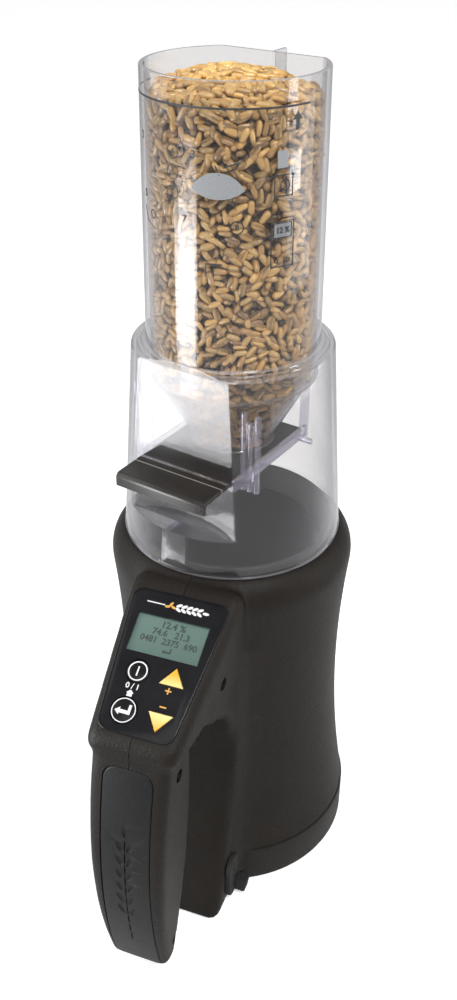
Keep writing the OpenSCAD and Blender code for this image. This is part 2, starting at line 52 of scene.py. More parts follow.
class Wire:
    """One output of a shader node, which can be added, multiplied and so on like a number."""

    def __init__(self, tree, socket=None):
        self.tree = tree
        self.socket = socket

    def node(self, kind, settings=None, sockets=None, output=0):
        """Adds a shader node: its settings first, then the values or wires of its sockets."""
        made = self.tree.nodes.new("ShaderNode" + kind)
        for name, value in (settings or {}).items():
            if name == "stops":
                while len(made.color_ramp.elements) < len(value):
                    made.color_ramp.elements.new(0.5)
                for element, (place, colour) in zip(made.color_ramp.elements, value):
                    element.position = place
                    element.color = (*colour, 1)
            else:
                setattr(made, name, value)
        for name, value in (sockets or {}).items():
            if isinstance(value, Wire):
                self.tree.links.new(value.socket, made.inputs[name])
            elif hasattr(made.inputs[name], "default_value"):
                if made.inputs[name].type == "RGBA" and len(value) == 3:
                    value = (*value, 1)
                made.inputs[name].default_value = value
        return Wire(self.tree, made.outputs[output])

    def maths(self, operation, *terms):
        return self.node("Math", {"operation": operation}, dict(enumerate(terms)))

    def __add__(self, other):
        return self.maths("ADD", self, other)

    def __sub__(self, other):
        return self.maths("SUBTRACT", self, other)

    def __rsub__(self, other):
        return self.maths("SUBTRACT", other, self)

    def __mul__(self, other):
        return self.maths("MULTIPLY", self, other)

    def __pow__(self, other):
        return self.maths("POWER", self, other)

    __radd__ = __add__
    __rmul__ = __mul__

    def between(self, low, high):
        """0 below low, 1 above high, and a straight line between them."""
        return self.node("MapRange", None, {"Value": self, "From Min": low, "From Max": high})

    def tint(self, dark, light):
        """The colour dark where this is 0 and light where it is 1."""
        return self.node("Mix", {"data_type": "RGBA"}, {0: self, 6: dark, 7: light}, 2)

    def place(self):
        return self.node("TexCoord", None, None, "Object")

    def axis(self, name):
        return self.node("SeparateXYZ", None, {0: self.place()}, name.upper())

    def spread(self, size, stretch=(1, 1, 1)):
        """Object coordinates counted in steps of size metres."""
        scale = [s / size for s in stretch]
        return self.node("Mapping", None, {"Vector": self.place(), "Scale": scale})

    def speckle(self, size, detail=2.0, stretch=(1, 1, 1), rough=0.55):
        """Noise with spots about size metres across."""
        noise = {"Vector": self.spread(size, stretch), "Scale": 1.0, "Detail": detail, "Roughness": rough}
        return self.node("TexNoise", None, noise)

    def pebble(self, size):
        """Round cells about size metres across, 0 in the middle of each."""
        return self.node("TexVoronoi", {"feature": "F1"}, {"Vector": self.spread(size), "Scale": 1.0})

    def raised(self, height, depth, strength=1.0):
        """A normal that follows a height between 0 and 1, depth metres deep."""
        return self.node("Bump", None, {"Strength": strength, "Distance": depth, "Height": height})


def finish(name, recipe):
    """A material. The recipe gives a shader, or what goes into a Principled shader."""
    made = bpy.data.materials.new(name)
    made.use_nodes = True
    made.node_tree.nodes.clear()
    start = Wire(made.node_tree)
    surface = recipe(start)
    if isinstance(surface, dict):
        surface = start.node("BsdfPrincipled", None, surface)
    out = made.node_tree.nodes.new("ShaderNodeOutputMaterial")
    made.node_tree.links.new(surface.socket, out.inputs["Surface"])
    return made


def table_paint(start):
    cloud = start.speckle(0.02)
    seen = start.node("LightPath", None, None, "Is Camera Ray")
    return {
        "Base Color": cloud.tint((0.88, 0.88, 0.885), (0.9, 0.9, 0.9)),
        "Roughness": 0.6,
        "Emission Color": seen.tint((0.05, 0.05, 0.05), (0.5, 0.5, 0.5)),
        "Emission Strength": 1.0,
    }


floor_mesh = bpy.data.meshes.new("table_top")
shape = bmesh.new()
bmesh.ops.create_grid(shape, x_segments=2, y_segments=2, size=4)
shape.to_mesh(floor_mesh)
floor = bpy.data.objects.new("table_top", floor_mesh)
floor_mesh.materials.append(finish("white table", table_paint))
bpy.context.scene.collection.objects.link(floor)

scene = bpy.context.scene
world = bpy.data.worlds.new("white room")
world.use_nodes = True
sky = world.node_tree.nodes["Background"]
sky.inputs["Color"].default_value = (1, 1, 1, 1)
# The room looks white but gives less light than it shows, so that shapes keep their shadows
glow = 0.45 * Wire(world.node_tree).node("LightPath", None, None, "Is Camera Ray") + 0.52
world.node_tree.links.new(glow.socket, sky.inputs["Strength"])
scene.world = world
scene.view_settings.view_transform = "Standard"
scene.cycles.transparent_max_bounces = 40
scene.cycles.max_bounces = 12
scene.cycles.sample_clamp_indirect = 4


def lamp(name, azimuth, distance, height, wide, tall, power, aim, gloss_only=False):
    """A soft panel at an azimuth from -Y towards +X, facing a height on the meter's axis."""
    data = bpy.data.lights.new(name, "AREA")
    data.shape, data.size, data.size_y, data.energy = "RECTANGLE", wide, tall, power
    made = bpy.data.objects.new(name, data)
    a = radians(azimuth)
    made.location = (sin(a) * distance, -cos(a) * distance, height)
    made.rotation_euler = (Vector((0, 0, aim)) - made.location).to_track_quat("-Z", "Y").to_euler()
    made.visible_camera = False
    if gloss_only:
        made.visible_diffuse = False
        made.visible_transmission = False
    scene.collection.objects.link(made)
    return made


lamp("top_soft", 10, 1.1, 1.5, 1.6, 1.2, 9, 0.15)
lamp("left_soft", -80, 1.3, 0.9, 0.9, 1.4, 8, 0.2)
lamp("key", 48, 0.75, 1.15, 0.28, 0.28, 8, 0.25)
# A tall white card at the left shows in the clear walls. It fades out towards the table.
card_azimuth, card_reach, card_wide, card_light = -39.5, 0.34, 0.16, 20
card_edges = (0.002, 0.032, 0.05, 0.07, 0.09, 0.11, 0.13, 0.16, 0.18, 0.235, 0.255, 0.275, 0.295, 0.315)
card_shares = (0.3, 0.04, 0.1, 0.22, 0.36, 0.46, 0.54, 0.8, 1, 0.8, 0.5, 0.28, 0.12)
for low, high, share in zip(card_edges, card_edges[1:], card_shares):
    tall, middle = high - low, (low + high) / 2
    watts = card_light * share * pi * card_wide * tall
    name = f"card_{int(low * 1000)}"
    lamp(name, card_azimuth, card_reach, middle, card_wide, tall, watts, middle, gloss_only=True)
lamp("card_right", 93, 0.34, 0.318, 0.09, 0.035, 0.13, 0.318, gloss_only=True)
lamp("card_far_right", 104, 0.5, 0.26, 0.36, 0.2, 0.55, 0.26, gloss_only=True)

# The camera stands in front and to the right of the handle and looks down at the meter.
camera = bpy.data.objects.new("camera", bpy.data.cameras.new("camera"))
eye, seen = Vector((0.14406, -0.39579, 0.46095)), Vector((-0.00161, -0.00059, 0.19332))
camera.matrix_world = (
    Matrix.Translation(eye)
    @ (seen - eye).to_track_quat("-Z", "Y").to_matrix().to_4x4()
    @ Matrix.Rotation(radians(0.297), 4, "Z")
)
camera.data.lens, camera.data.sensor_width = 38.577, 36
camera.data.clip_start, camera.data.clip_end = 0.01, 50
scene.collection.objects.link(camera)
scene.camera = camera

# ---------------------------------------------------------------- base cap
# A shallow moulded tray that closes the round body from below. Four screws hold it, and
# rubber pads pressed into its underside keep the meter from sliding.


def outward(bm):
    """Turns every face outwards."""
    bmesh.ops.recalc_face_normals(bm, faces=bm.faces)
    return bm


def spun(profile, steps=144, ring=False):
    """A solid turned about the Z axis from (radius, height) points in millimetres."""
    bm = bmesh.new()
    points = [bm.verts.new((r, 0, z)) for r, z in profile]
    for a, b in zip(points, points[1:] + points[:1] if ring else points[1:]):
        bm.edges.new((a, b))
    line = bm.verts[:] + bm.edges[:]
    bmesh.ops.spin(bm, geom=line, axis=(0, 0, 1), angle=2 * pi, steps=steps, use_merge=True)
    bmesh.ops.remove_doubles(bm, verts=bm.verts, dist=0.0005)
    return outward(bm)


def prism(outline, low, high):
    """A solid with a flat outline of (x, y) points between two heights."""
    bm = bmesh.new()
    face = bm.faces.new([bm.verts.new((x, y, low)) for x, y in outline])
    grown = bmesh.ops.extrude_face_region(bm, geom=[face])["geom"]
    lid = [g for g in grown if isinstance(g, bmesh.types.BMVert)]
    bmesh.ops.translate(bm, verts=lid, vec=(0, 0, high - low))
    return outward(bm)


def block(x, y, z):
    """A box between the two values of x, of y and of z."""
    bm = bmesh.new()
    bmesh.ops.create_cube(bm, size=1)
    bmesh.ops.scale(bm, verts=bm.verts, vec=(x[1] - x[0], y[1] - y[0], z[1] - z[0]))
    bmesh.ops.translate(bm, verts=bm.verts, vec=(sum(x) / 2, sum(y) / 2, sum(z) / 2))
    return bm


def rod(radius, low, high, at=(0, 0), steps=48, top=None):
    """A round bar, or a cone when top gives its upper radius."""
    bm = bmesh.new()
    end = radius if top is None else top
    bmesh.ops.create_cone(bm, cap_ends=True, segments=steps, radius1=radius, radius2=end, depth=high - low)
    bmesh.ops.translate(bm, verts=bm.verts, vec=(*at, (low + high) / 2))
    return bm


def shift(x, y, z=0.0):
    """The move by x, y and z millimetres."""
    return Matrix.Translation((x, y, z))


def rotation(degrees, axis):
    return Matrix.Rotation(radians(degrees), 4, axis)


def moved(bm, matrix):
    bmesh.ops.transform(bm, matrix=matrix, verts=bm.verts)
    return bm


def length_along(edge, axis):
    return abs(edge.verts[0].co[axis] - edge.verts[1].co[axis])


def edges_along(bm, axis, length):
    """Edges that run further than a length along one axis."""
    return [e for e in bm.edges if length_along(e, axis) > length]


def edges_past(bm, axis, place):
    """Edges that lie wholly past a place on one axis."""
    return [e for e in bm.edges if min(v.co[axis] for v in e.verts) > place]


def rounded(bm, edges, width, segments, clamp=False):
    """Rounds the given edges."""
    bmesh.ops.bevel(
        bm, geom=edges, offset=width, segments=segments, profile=0.5,
        affect="EDGES", material=-1, clamp_overlap=clamp,
    )
    return bm


def eased(bm, width, segments=2):
    """Rounds every edge that turns by more than 30 degrees."""
    sharp = [e for e in bm.edges if e.is_manifold and e.calc_face_angle(0) > radians(30)]
    return rounded(bm, sharp, width, segments, clamp=True)


def joined(*parts):
    """Loose solids put into one mesh."""
    whole = bmesh.new()
    for part in parts:
        mesh = bpy.data.meshes.new("loose")
        part.to_mesh(mesh)
        whole.from_mesh(mesh)
        bpy.data.meshes.remove(mesh)
    return whole


def evaluated(thing):
    """The mesh that an object comes to, and the object is taken away."""
    bpy.context.view_layer.update()
    mesh = bpy.data.meshes.new_from_object(thing.evaluated_get(bpy.context.evaluated_depsgraph_get()))
    bm = bmesh.new()
    bm.from_mesh(mesh)
    bpy.data.objects.remove(thing)
    bpy.data.meshes.remove(mesh)
    return bm


def worked(bm, setup):
    """The mesh after the modifiers that setup puts on an object of it."""
    mesh = bpy.data.meshes.new("work")
    bm.to_mesh(mesh)
    work = bpy.data.objects.new("work", mesh)
    scene.collection.objects.link(work)
    setup(work)
    return evaluated(work)


def carved(bm, *cutters, how="DIFFERENCE"):
    """bm with the cutters taken out of it, joined to it, or kept in common with it."""
    for cutter in cutters:
        mesh = bpy.data.meshes.new("cutter")
        cutter.to_mesh(mesh)
        tool = bpy.data.objects.new("cutter", mesh)
        scene.collection.objects.link(tool)

        def add(work):
            cut = work.modifiers.new("cut", "BOOLEAN")
            cut.object, cut.operation, cut.solver = tool, how, "MANIFOLD"

        bm = worked(bm, add)
        bpy.data.objects.remove(tool)
    return bm


def piece(name, bm, material, body, stands_for=(), crease=32):
    """Turns millimetres into metres, gives the finish and hands the piece to its body."""
    bmesh.ops.scale(bm, verts=bm.verts, vec=(0.001,) * 3)
    mesh = bpy.data.meshes.new(name)
    bm.to_mesh(mesh)
    mesh.materials.append(material)
    mesh.shade_smooth()
    mesh.set_sharp_from_angle(angle=radians(crease))
    made = bpy.data.objects.new(name, mesh)
    scene.collection.objects.link(made)
    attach(made, body)
    if stands_for:
        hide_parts(*stands_for)
    return made


def moulded(dark, light, rough, grain=0.001, depth=0.0002):
    """Black plastic from an etched mould: a fine pebbled skin, shinier on its tops."""

    def recipe(start):
        skin = start.pebble(grain)
        fine = start.speckle(grain * 0.6, 3)
        height = (1 - skin) * 0.7 + fine * 0.5
        cloud = start.speckle(0.03, 3)
        dust = start.speckle(0.006, 4).between(0.62, 0.75) * 0.35
        return {
            "Base Color": (cloud * 0.5 + height * 0.3 + dust).tint(dark, light),
            "Roughness": rough + 0.12 * cloud - 0.1 * height.between(0.6, 1.1),
            "Specular IOR Level": 0.16,
            "Normal": start.raised(height, depth, 0.8),
        }

    return recipe


def dress(names, material):
    """Gives CAD parts that stay as they are their finish."""
    for name in names:
        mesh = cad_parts[name].data
        mesh.materials.clear()
        mesh.materials.append(material)


black_shell = finish("moulded black shell", moulded((0.0045, 0.0034, 0.0026), (0.021, 0.0163, 0.0128), 0.46))
cap_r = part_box("base_cap")[1].x * 1000
cap_low, cap_high = (c.z * 1000 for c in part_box("base_cap"))
cap_wall = 3
cap = spun([
    (0, cap_low), (cap_r - 1.6, cap_low), (cap_r - 0.5, cap_low + 0.45), (cap_r, cap_low + 1.6),
    (cap_r, cap_high - 0.6), (cap_r - 0.5, cap_high), (cap_r - cap_wall, cap_high),
    (cap_r - cap_wall, cap_low + cap_wall), (0, cap_low + cap_wall),
])


def round_the_foot(radius, angles):
    return [(radius * cos(radians(a)), radius * sin(radians(a))) for a in angles]


screw_spots = round_the_foot(53.2, (40, 140, 220, 320))
foot_spots = [(0, 0)] + round_the_foot(50, (60, 160, 240, 340))
screw_wells = [rod(3.2, -1, 6, spot) for spot in screw_spots]
foot_wells = [rod(6.1, -1, 2.2, spot) for spot in foot_spots]
cap = carved(cap, joined(*screw_wells, *foot_wells))
piece("base_cap_shell", cap, black_shell, "meter_body", ["base_cap"])


def plain(dark, light, cloud, rough, dull, skin, depth, **fixed):
    """A plain surface that is never quite even.

    cloud, dull and skin say how coarse the changes of colour, gloss and height are, as
    speckle takes it. rough is the least roughness and how much the dull spots add."""

    def recipe(start):
        return {
            "Base Color": start.speckle(*cloud).tint(dark, light),
            "Roughness": rough[0] + rough[1] * start.speckle(*dull),
            "Normal": start.raised(start.speckle(*skin), depth),
            **fixed,
        }

    return recipe


soft_rubber = finish("black rubber", plain(
    (0.006, 0.0055, 0.005), (0.016, 0.015, 0.0145), (0.002, 4), (0.75, 0.15), (0.004,), (0.0005, 3), 0.0001))
pads = joined(*[eased(rod(6, 0, 2.2, spot), 0.5) for spot in foot_spots])
piece("base_pads", pads, soft_rubber, "meter_body", ["base_feet"])


def plated(start):
    swirl = start.speckle(0.0012, 4)
    return {
        "Base Color": swirl.tint((0.5, 0.5, 0.5), (0.66, 0.65, 0.63)),
        "Metallic": 1.0,
        "Roughness": 0.22 + 0.25 * start.speckle(0.003),
        "Normal": start.raised(swirl, 0.00004),
    }


zinc = finish("zinc plated steel", plated)


def screws(spots, head_r, head_low, head_high, shank_r, shank_high, drive_r):
    """Round-headed screws with a cross recess, standing head down at the (x, y) spots."""
    long, narrow, deep = (-drive_r, drive_r), (-0.35, 0.35), (head_low - 1, head_low + 1.1)
    parts = []
    for spot in spots:
        head = eased(rod(head_r, head_low, head_high, steps=32), 0.4)
        head = carved(head, block(long, narrow, deep), block(narrow, long, deep))
        parts += [moved(head, shift(*spot)), rod(shank_r, head_high - 0.05, shank_high, spot, 16)]
    return joined(*parts)


cap_screws = screws(screw_spots, 2.9, 3.6, 5.9, 1.25, 31.6, 1.9)
piece("base_cap_screws", cap_screws, zinc, "meter_body", ["base_screws"])

# ---------------------------------------------------------------- weighing platform
# The cup stands on an aluminium bar with strain gauges, screwed to a bracket on the base
# cap. The metal parts keep their machined shapes and get their finishes here.


def milled(direction, dark, light, rough):
    """Bare metal with fine tool marks along one direction."""

    def recipe(start):
        marks = start.speckle(0.0004, 3, stretch=direction)
        wear = start.speckle(0.008, 3)
        return {
            "Base Color": (0.5 * marks + 0.5 * wear).tint(dark, light),
            "Metallic": 1.0,
            "Roughness": rough + 0.15 * marks,
            "Normal": start.raised(marks, 0.00003),
        }

    return recipe


bar_metal = milled((0.05, 1, 1), (0.52, 0.53, 0.55), (0.72, 0.72, 0.72), 0.3)
bracket_metal = milled((1, 1, 0.1), (0.38, 0.39, 0.4), (0.56, 0.57, 0.58), 0.35)
dress(["cell_platform", "load_cell"], finish("milled aluminium", bar_metal))
dress(["load_cell_bracket"], finish("folded zinc steel", bracket_metal))
dress(["load_cell_screws", "board_screws"], zinc)

# ---------------------------------------------------------------- circuit boards
# Green glass-fibre boards with black chips. A grey ribbon joins the display board in the
# head to the main board on the base cap.


def board(start):
    edges = {"feature": "DISTANCE_TO_EDGE", "distance": "CHEBYCHEV"}
    tracks = start.node("TexVoronoi", edges, {"Vector": start.place(), "Scale": 420.0})
    copper = 1 - tracks.between(0.02, 0.06)
    weave = start.speckle(0.0006, 2)
    return {
        "Base Color": (0.55 * copper + 0.3 * weave).tint((0.008, 0.06, 0.028), (0.03, 0.2, 0.08)),
        "Roughness": 0.3 + 0.2 * weave,
        "Coat Weight": 0.4,
        "Normal": start.raised(copper, 0.00003),
    }


def ribbon(start):
    stripes = {"Vector": start.place(), "Scale": 250.0, "Distortion": 0.2}
    wires = start.node("TexWave", {"bands_direction": "X"}, stripes)
    return {
        "Base Color": wires.tint((0.2, 0.21, 0.23), (0.4, 0.41, 0.43)),
        "Roughness": 0.5 + 0.1 * start.speckle(0.003),
        "Normal": start.raised(wires, 0.0002),
    }


def contact(start):
    rub = start.speckle(0.0015, 4)
    return {
        "Base Color": rub.tint((0.62, 0.42, 0.14), (0.86, 0.66, 0.3)),
        "Metallic": 1.0,
        "Roughness": 0.2 + 0.25 * rub,
        "Normal": start.raised(rub, 0.00003),
    }


dress(["main_board", "display_board"], finish("green circuit board", board))
chip = plain(
    (0.014, 0.014, 0.015), (0.05, 0.05, 0.052), (0.0009, 3), (0.55, 0.2), (0.002,), (0.0003,), 0.00003)
dress(["main_board_parts", "key_switches", "buzzer"], finish("chip black", chip))
dress(["ribbon_cable"], finish("grey ribbon", ribbon))
dress(["battery_contacts"], finish("gold contact", contact))
dress(["data_port"], zinc)

# ---------------------------------------------------------------- test cell
# The measuring cup and its centre electrode are turned aluminium, anodised black. The cup
# stands clear of the shell on the weighing platform, and an ivory disc insulates the two.


def ringed(dark, light, rough):
    """Turned metal, with rings round the Z axis."""

    def recipe(start):
        flat = start.node("VectorMath", {"operation": "MULTIPLY"}, {0: start.place(), 1: (1, 1, 0)})
        reach = start.node("VectorMath", {"operation": "LENGTH"}, {0: flat}, "Value")
        height = start.axis("z")
        spread = start.node("CombineXYZ", None, {"X": reach * 2500, "Z": height * 2500})
        marks = start.node("TexNoise", None, {"Vector": spread, "Scale": 1.0, "Detail": 3.0})
        dull = start.speckle(0.01, 4)
        return {
            "Base Color": (0.6 * marks + 0.4 * dull).tint(dark, light),
            "Metallic": 1.0,
            "Roughness": rough + 0.12 * marks + 0.1 * dull,
            "Normal": start.raised(marks, 0.00003),
        }

    return recipe


anodised = ringed((0.026, 0.025, 0.025), (0.068, 0.067, 0.066), 0.3)
ivory = plain((0.62, 0.57, 0.44), (0.74, 0.7, 0.58), (0.004, 4), (0.4, 0.1), (0.001,), (0.0008,), 0.00004)
dress(["test_cell", "cell_electrode"], finish("anodised cup", anodised))
dress(["temperature_probe"], zinc)
dress(["cell_insulator"], finish("ivory plastic", ivory))
dress(["cell_seal"], soft_rubber)

# ---------------------------------------------------------------- body shells
# Two black plastic halves that meet on the plane of the handle: a round body with hollow
# flanks, a head that carries the display, a hanging grip and a web below the finger gap.


def bow(a, b, sag, steps):
    """Points from a to b on an arc that stands sag out of the straight line, to its right."""
    (ax, ay), (bx, by) = a, b
    span = hypot(bx - ax, by - ay)
    ux, uy = (bx - ax) / span, (by - ay) / span
    reach = (span * span / 4 + sag * sag) / (2 * sag)
    cx, cy = (ax + bx) / 2 - uy * (reach - sag), (ay + by) / 2 + ux * (reach - sag)
    turn = 2 * asin(span / 2 / abs(reach)) * (1 if sag > 0 else -1)
    points = []
    for i in range(steps + 1):
        c, s = cos(turn * i / steps), sin(turn * i / steps)
        points.append((cx + c * (ax - cx) - s * (ay - cy), cy + s * (ax - cx) + c * (ay - cy)))
    return points


seam_r, seam_z = 60.5, 22.4
shoulder_r, shoulder_z, waist_sag = 56.3, 168, -5.1
crown_r, crown_z = 50, 184


def flank(inset=0):
    """The body's side from the seam of the base cap up to the shoulder, as (radius, height)."""
    return bow((seam_r - inset, seam_z), (shoulder_r - inset, shoulder_z), waist_sag, 16)


def body_profile(inset, foot):
    shoulder = bow((shoulder_r - inset, shoulder_z), (crown_r - inset, crown_z - inset), 2.6, 6)
    return [(0, foot), (seam_r - inset, foot)] + flank(inset) + shoulder[1:] + [(0, crown_z - inset)]


grip_middle, grip_reach = 75.5, 61.5


def arc_y(z, low, high, sag):
    """A value that goes from low at the grip's foot to high at its top, and bulges by sag."""
    s = (z - grip_middle) / grip_reach
    return low + (high - low) * (s + 1) / 2 + sag * (1 - s * s)


def grip_front(z):
    return arc_y(z, -122.5, -120, -9)


def grip_rear(z):
    return arc_y(z, -110.5, -95.5, 3.5)


def grip_half(z):
    return arc_y(z, 14.2, 18, 1)


overlay_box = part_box("keypad_overlay")
panel = shift(0, overlay_box[1].y * 1000 - 0.45, overlay_box[1].z * 1000 - 0.26) @ rotation(30, "X")


def balls(*spots):
    """Balls for the head's round corners."""
    bm = bmesh.new()
    for spot in spots:
        bmesh.ops.create_uvsphere(bm, u_segments=24, v_segments=16, radius=5, matrix=shift(*spot))
    return bm


def head_solid():
    upper = moved(balls((-21, 4, -5), (21, 4, -5), (-15.6, -64, -5), (15.6, -64, -5)), panel)
    lower = balls((-15.6, -115, 142), (15.6, -115, 142), (-20, -50, 142), (20, -50, 142))
    bm = joined(upper, lower)
    shell = bmesh.ops.convex_hull(bm, input=bm.verts)
    inside = [g for g in shell["geom_interior"] if isinstance(g, bmesh.types.BMVert)]
    bmesh.ops.delete(bm, geom=inside, context="VERTS")
    return bm


def sliced(bm, axis, places):
    """Cuts the mesh across one axis at each of the places, and loses nothing."""
    for place in places:
        point, normal = Vector(), Vector()
        point[axis], normal[axis] = place, 1
        whole = bm.verts[:] + bm.edges[:] + bm.faces[:]
        bmesh.ops.bisect_plane(bm, geom=whole, plane_co=point, plane_no=normal)
    return bm


def between(low, high, count):
    """The places that part the way from low to high into count equal steps."""
    return [low + (high - low) * i / count for i in range(1, count)]


def grip_solid():
    low, high = 13.2, 141
    bm = sliced(block((-1, 1), (-1, 1), (low, high)), 2, between(low, high, 20))
    for v in bm.verts:
        z = v.co.z
        v.co.x *= grip_half(z)
        v.co.y = grip_front(z) if v.co.y < 0 else grip_rear(z)
    return rounded(bm, edges_along(bm, 2, 1), 3.6, 3)


def side_solid(outline, half):
    """A solid that reaches half to each side, with a side view of (y, z) points."""
    upright = Matrix(((0, 0, 1, 0), (1, 0, 0, 0), (0, 1, 0, 0), (0, 0, 0, 1)))
    return outward(moved(prism(outline, -half, half), upright))


web_half, web_top = 23.5, 145


def web_solid():
    """The web, whose front follows the fingers up to the arch under the head."""
    side = [(-40, 0.8)] + bow((-83.5, 0.8), (-55.3, 92), 4.2, 10)
    side += [(-56.7, 101.5), (-60.6, 112.2), (-64.1, 118), (-68.5, 122.8)]
    side += [(-73.6, 127), (-79.5, 130.8), (-85, 133.8), (-90, 138)]
    bm = side_solid(side + [(-90, web_top), (-40, web_top)], web_half)
    rim = [e for e in bm.edges if length_along(e, 0) < 0.1 and e.calc_face_angle(0) > 1]
    rim = [e for e in rim if max(v.co.y for v in e.verts) < -42]
    return rounded(bm, rim, 4.5, 4)


def soften(work):
    """Melts the joined solids into one skin with soft hollow corners."""
    skin = work.modifiers.new("skin", "REMESH")
    skin.mode, skin.voxel_size, skin.use_smooth_shade = "VOXEL", 1.05, True
    ease = work.modifiers.new("ease", "SMOOTH")
    ease.factor, ease.iterations = 0.5, 24


def flank_radius(z):
    for (ra, za), (rb, zb) in zip(flank(), flank()[1:]):
        if za <= z <= zb:
            return ra + (rb - ra) * (z - za) / (zb - za)
    return seam_r


def corner_fill(side):
    """The soft hollow corner where the web runs into the round body."""
    low, high, body_x = 8, 150, 34.5
    bm = sliced(block((0, 1), (0, 1), (low, high)), 2, between(low, high, 16))
    for v in bm.verts:
        r = flank_radius(v.co.z)
        crease = Vector((web_half, -sqrt(r * r - web_half ** 2)))
        web_end = crease + Vector((-0.7, -9))
        body_end = Vector((body_x, -sqrt(r * r - body_x ** 2) + 0.6))
        hollow = ((web_end + body_end) / 2).lerp(crease, 0.45)
        spots = {(0, 0): Vector((20, -40)), (1, 0): body_end, (0, 1): web_end, (1, 1): hollow}
        spot = spots[(round(v.co.x), round(v.co.y))]
        v.co.x, v.co.y = spot.x * side, spot.y
    return outward(bm)


outer = joined(
    spun(body_profile(0, 12), 160), head_solid(), grip_solid(), web_solid(), corner_fill(1), corner_fill(-1)
)
outer = worked(outer, soften)


def door_shape(grow, depth, y_near=None):
    """The battery door, from the grip's curved front, or from y_near, back to depth behind it."""
    half, low, high = 11.3 + grow, 15.5 - grow, 135 + grow
    bm = prism([(half, low), (half, high), (-half, high), (-half, low)], 0, 1)
    top = [e for e in edges_along(bm, 2, 0.5) if e.verts[0].co.y > 100]
    sliced(rounded(bm, top, 6, 6), 1, between(low, high, 24))
    for v in bm.verts:
        x, z, far = v.co.x, v.co.y, v.co.z > 0.5
        near = grip_front(z) if y_near is None else y_near
        v.co = (x, grip_front(z) + depth if far else near, z)
    return outward(bm)


def panel_shape(grow, low, high):
    """The display panel's outline: wider at its upper end, with round corners."""
    top, foot = 22 + grow, 16.3 + grow
    bm = prism([(-top, grow), (-foot, -62.6 - grow), (foot, -62.6 - grow), (top, grow)], low, high)
    return rounded(bm, edges_along(bm, 2, (high - low) / 2), 5, 8)


shell_wall = 3
# Each screw's y, its height and how far out the shell's skin is there
shell_screws = [(-74, 149.5, 24.3), (-110.5, 128.5, 17.7), (-113.5, 24.5, 13.9)]
across = rotation(90, "Y")
outer = carved(
    outer,
    rod(61.5, -5, seam_z, steps=144),  # room for the base cap
    spun(body_profile(shell_wall, 0), 160),  # hollow of the round body
    rod(48, 170, 190, steps=144),  # mouth
    moved(panel_shape(0.15, -0.9, 12), panel),  # recess of the panel
    moved(block((-19.5, 19.5), (-31, -8), (-22, 5)), panel),  # room for the display
    moved(block((-15.2, 15.2), (-60.8, -28.8), (-8.6, 5)), panel),  # room for the key switches
    block((-16, 16), (-51.5, -43.5), (101, 161)),  # way for the ribbon
    block((-16, 16), (-64, -50), (146, 165)),
    door_shape(0.35, 2.3, -150),
    block((-11.1, 11.1), (-127, -109.6), (30.6, 124.4)),  # battery bay
    block((15.5, 35.5), (-68.5, -59.5), (8, 22)),  # data port
    *[moved(rod(3, 0, 20, steps=32), shift(skin - 5, y, z) @ across) for y, z, skin in shell_screws],
)
half_gap = 0.13
for side, name in ((-1, "left"), (1, "right")):
    room = block(tuple(sorted((side * half_gap, side * 80))), (-150, 80), (-5, 200))
    half = carved(outer.copy(), room, how="INTERSECT")
    piece(f"body_shell_{name}", half, black_shell, "meter_body", [f"housing_{name}"], 38)

heads = []
for y, z, skin in shell_screws:
    head = screws([(0, 0)], 2.7, 0, 2, 1.25, skin + 3, 1.7)
    heads.append(moved(head, shift(skin - 3, y, z) @ rotation(-90, "Y")))
piece("body_shell_screws", joined(*heads), zinc, "meter_body", ["housing_screws"])

# ---------------------------------------------------------------- mouth ring
# A black plastic ring snapped into the top of the body. It guides grain into the cup and
# centres the loader that stands round it.

inner_black = finish("satin black plastic", plain(
    (0.006, 0.006, 0.006), (0.018, 0.0175, 0.017), (0.01, 4), (0.42, 0.2), (0.002, 4), (0.0006, 3), 0.00008,
    **{"Specular IOR Level": 0.35}))
ring = spun([
    (40.2, 177.5), (42.2, 177.5), (44.4, 174), (50, 174), (50, 176.5), (47.5, 176.5), (47.5, 186.2),
    (47.1, 187.2), (46.3, 187.9), (45.4, 188), (44.9, 187.7),
], ring=True)
piece("mouth_ring", ring, inner_black, "meter_body", ["cell_ring"])

# ---------------------------------------------------------------- display
# A grey-green liquid crystal display behind a clear lens, with dark segments that show a
# reading and a few numbers.


def lcd_back(start):
    """Grey-green, darker towards one corner, with the fine lines of the electrodes."""
    x, y = start.axis("x"), start.axis("y")
    lines = start.node("TexWave", {"bands_direction": "X"}, {"Vector": start.place(), "Scale": 700.0})
    shade = (y - x * 0.35).between(-0.085, -0.062)
    return {
        "Base Color": (0.85 * shade + 0.1 * lines).tint((0.085, 0.14, 0.125), (0.135, 0.21, 0.19)),
        "Roughness": 0.35 + 0.1 * start.speckle(0.002),
        "Normal": start.raised(lines, 0.00001),
    }


def lens(start):
    facing = start.node("LayerWeight", None, {"Blend": 0.5}, "Facing")
    film = start.node("BsdfPrincipled", None, {
        "Base Color": start.speckle(0.003).tint((0.7, 0.75, 0.72), (0.8, 0.84, 0.81)),
        "Metallic": 0.9, "Roughness": 0.06 + 0.05 * start.speckle(0.006)})
    clear = start.node("BsdfTransparent", None, {"Color": (0.97, 0.99, 0.98, 1)})
    return start.node("MixShader", None, {0: 0.025 + 0.6 * facing ** 5, 1: clear, 2: film})


def ink(dark, light):
    return plain(dark, light, (0.0007, 3), (0.5, 0.15), (0.0015,), (0.0004,), 0.00002)


dress(["lcd_module"], finish("display grey-green", lcd_back))
dress(["lcd_lens"], finish("display lens", lens))


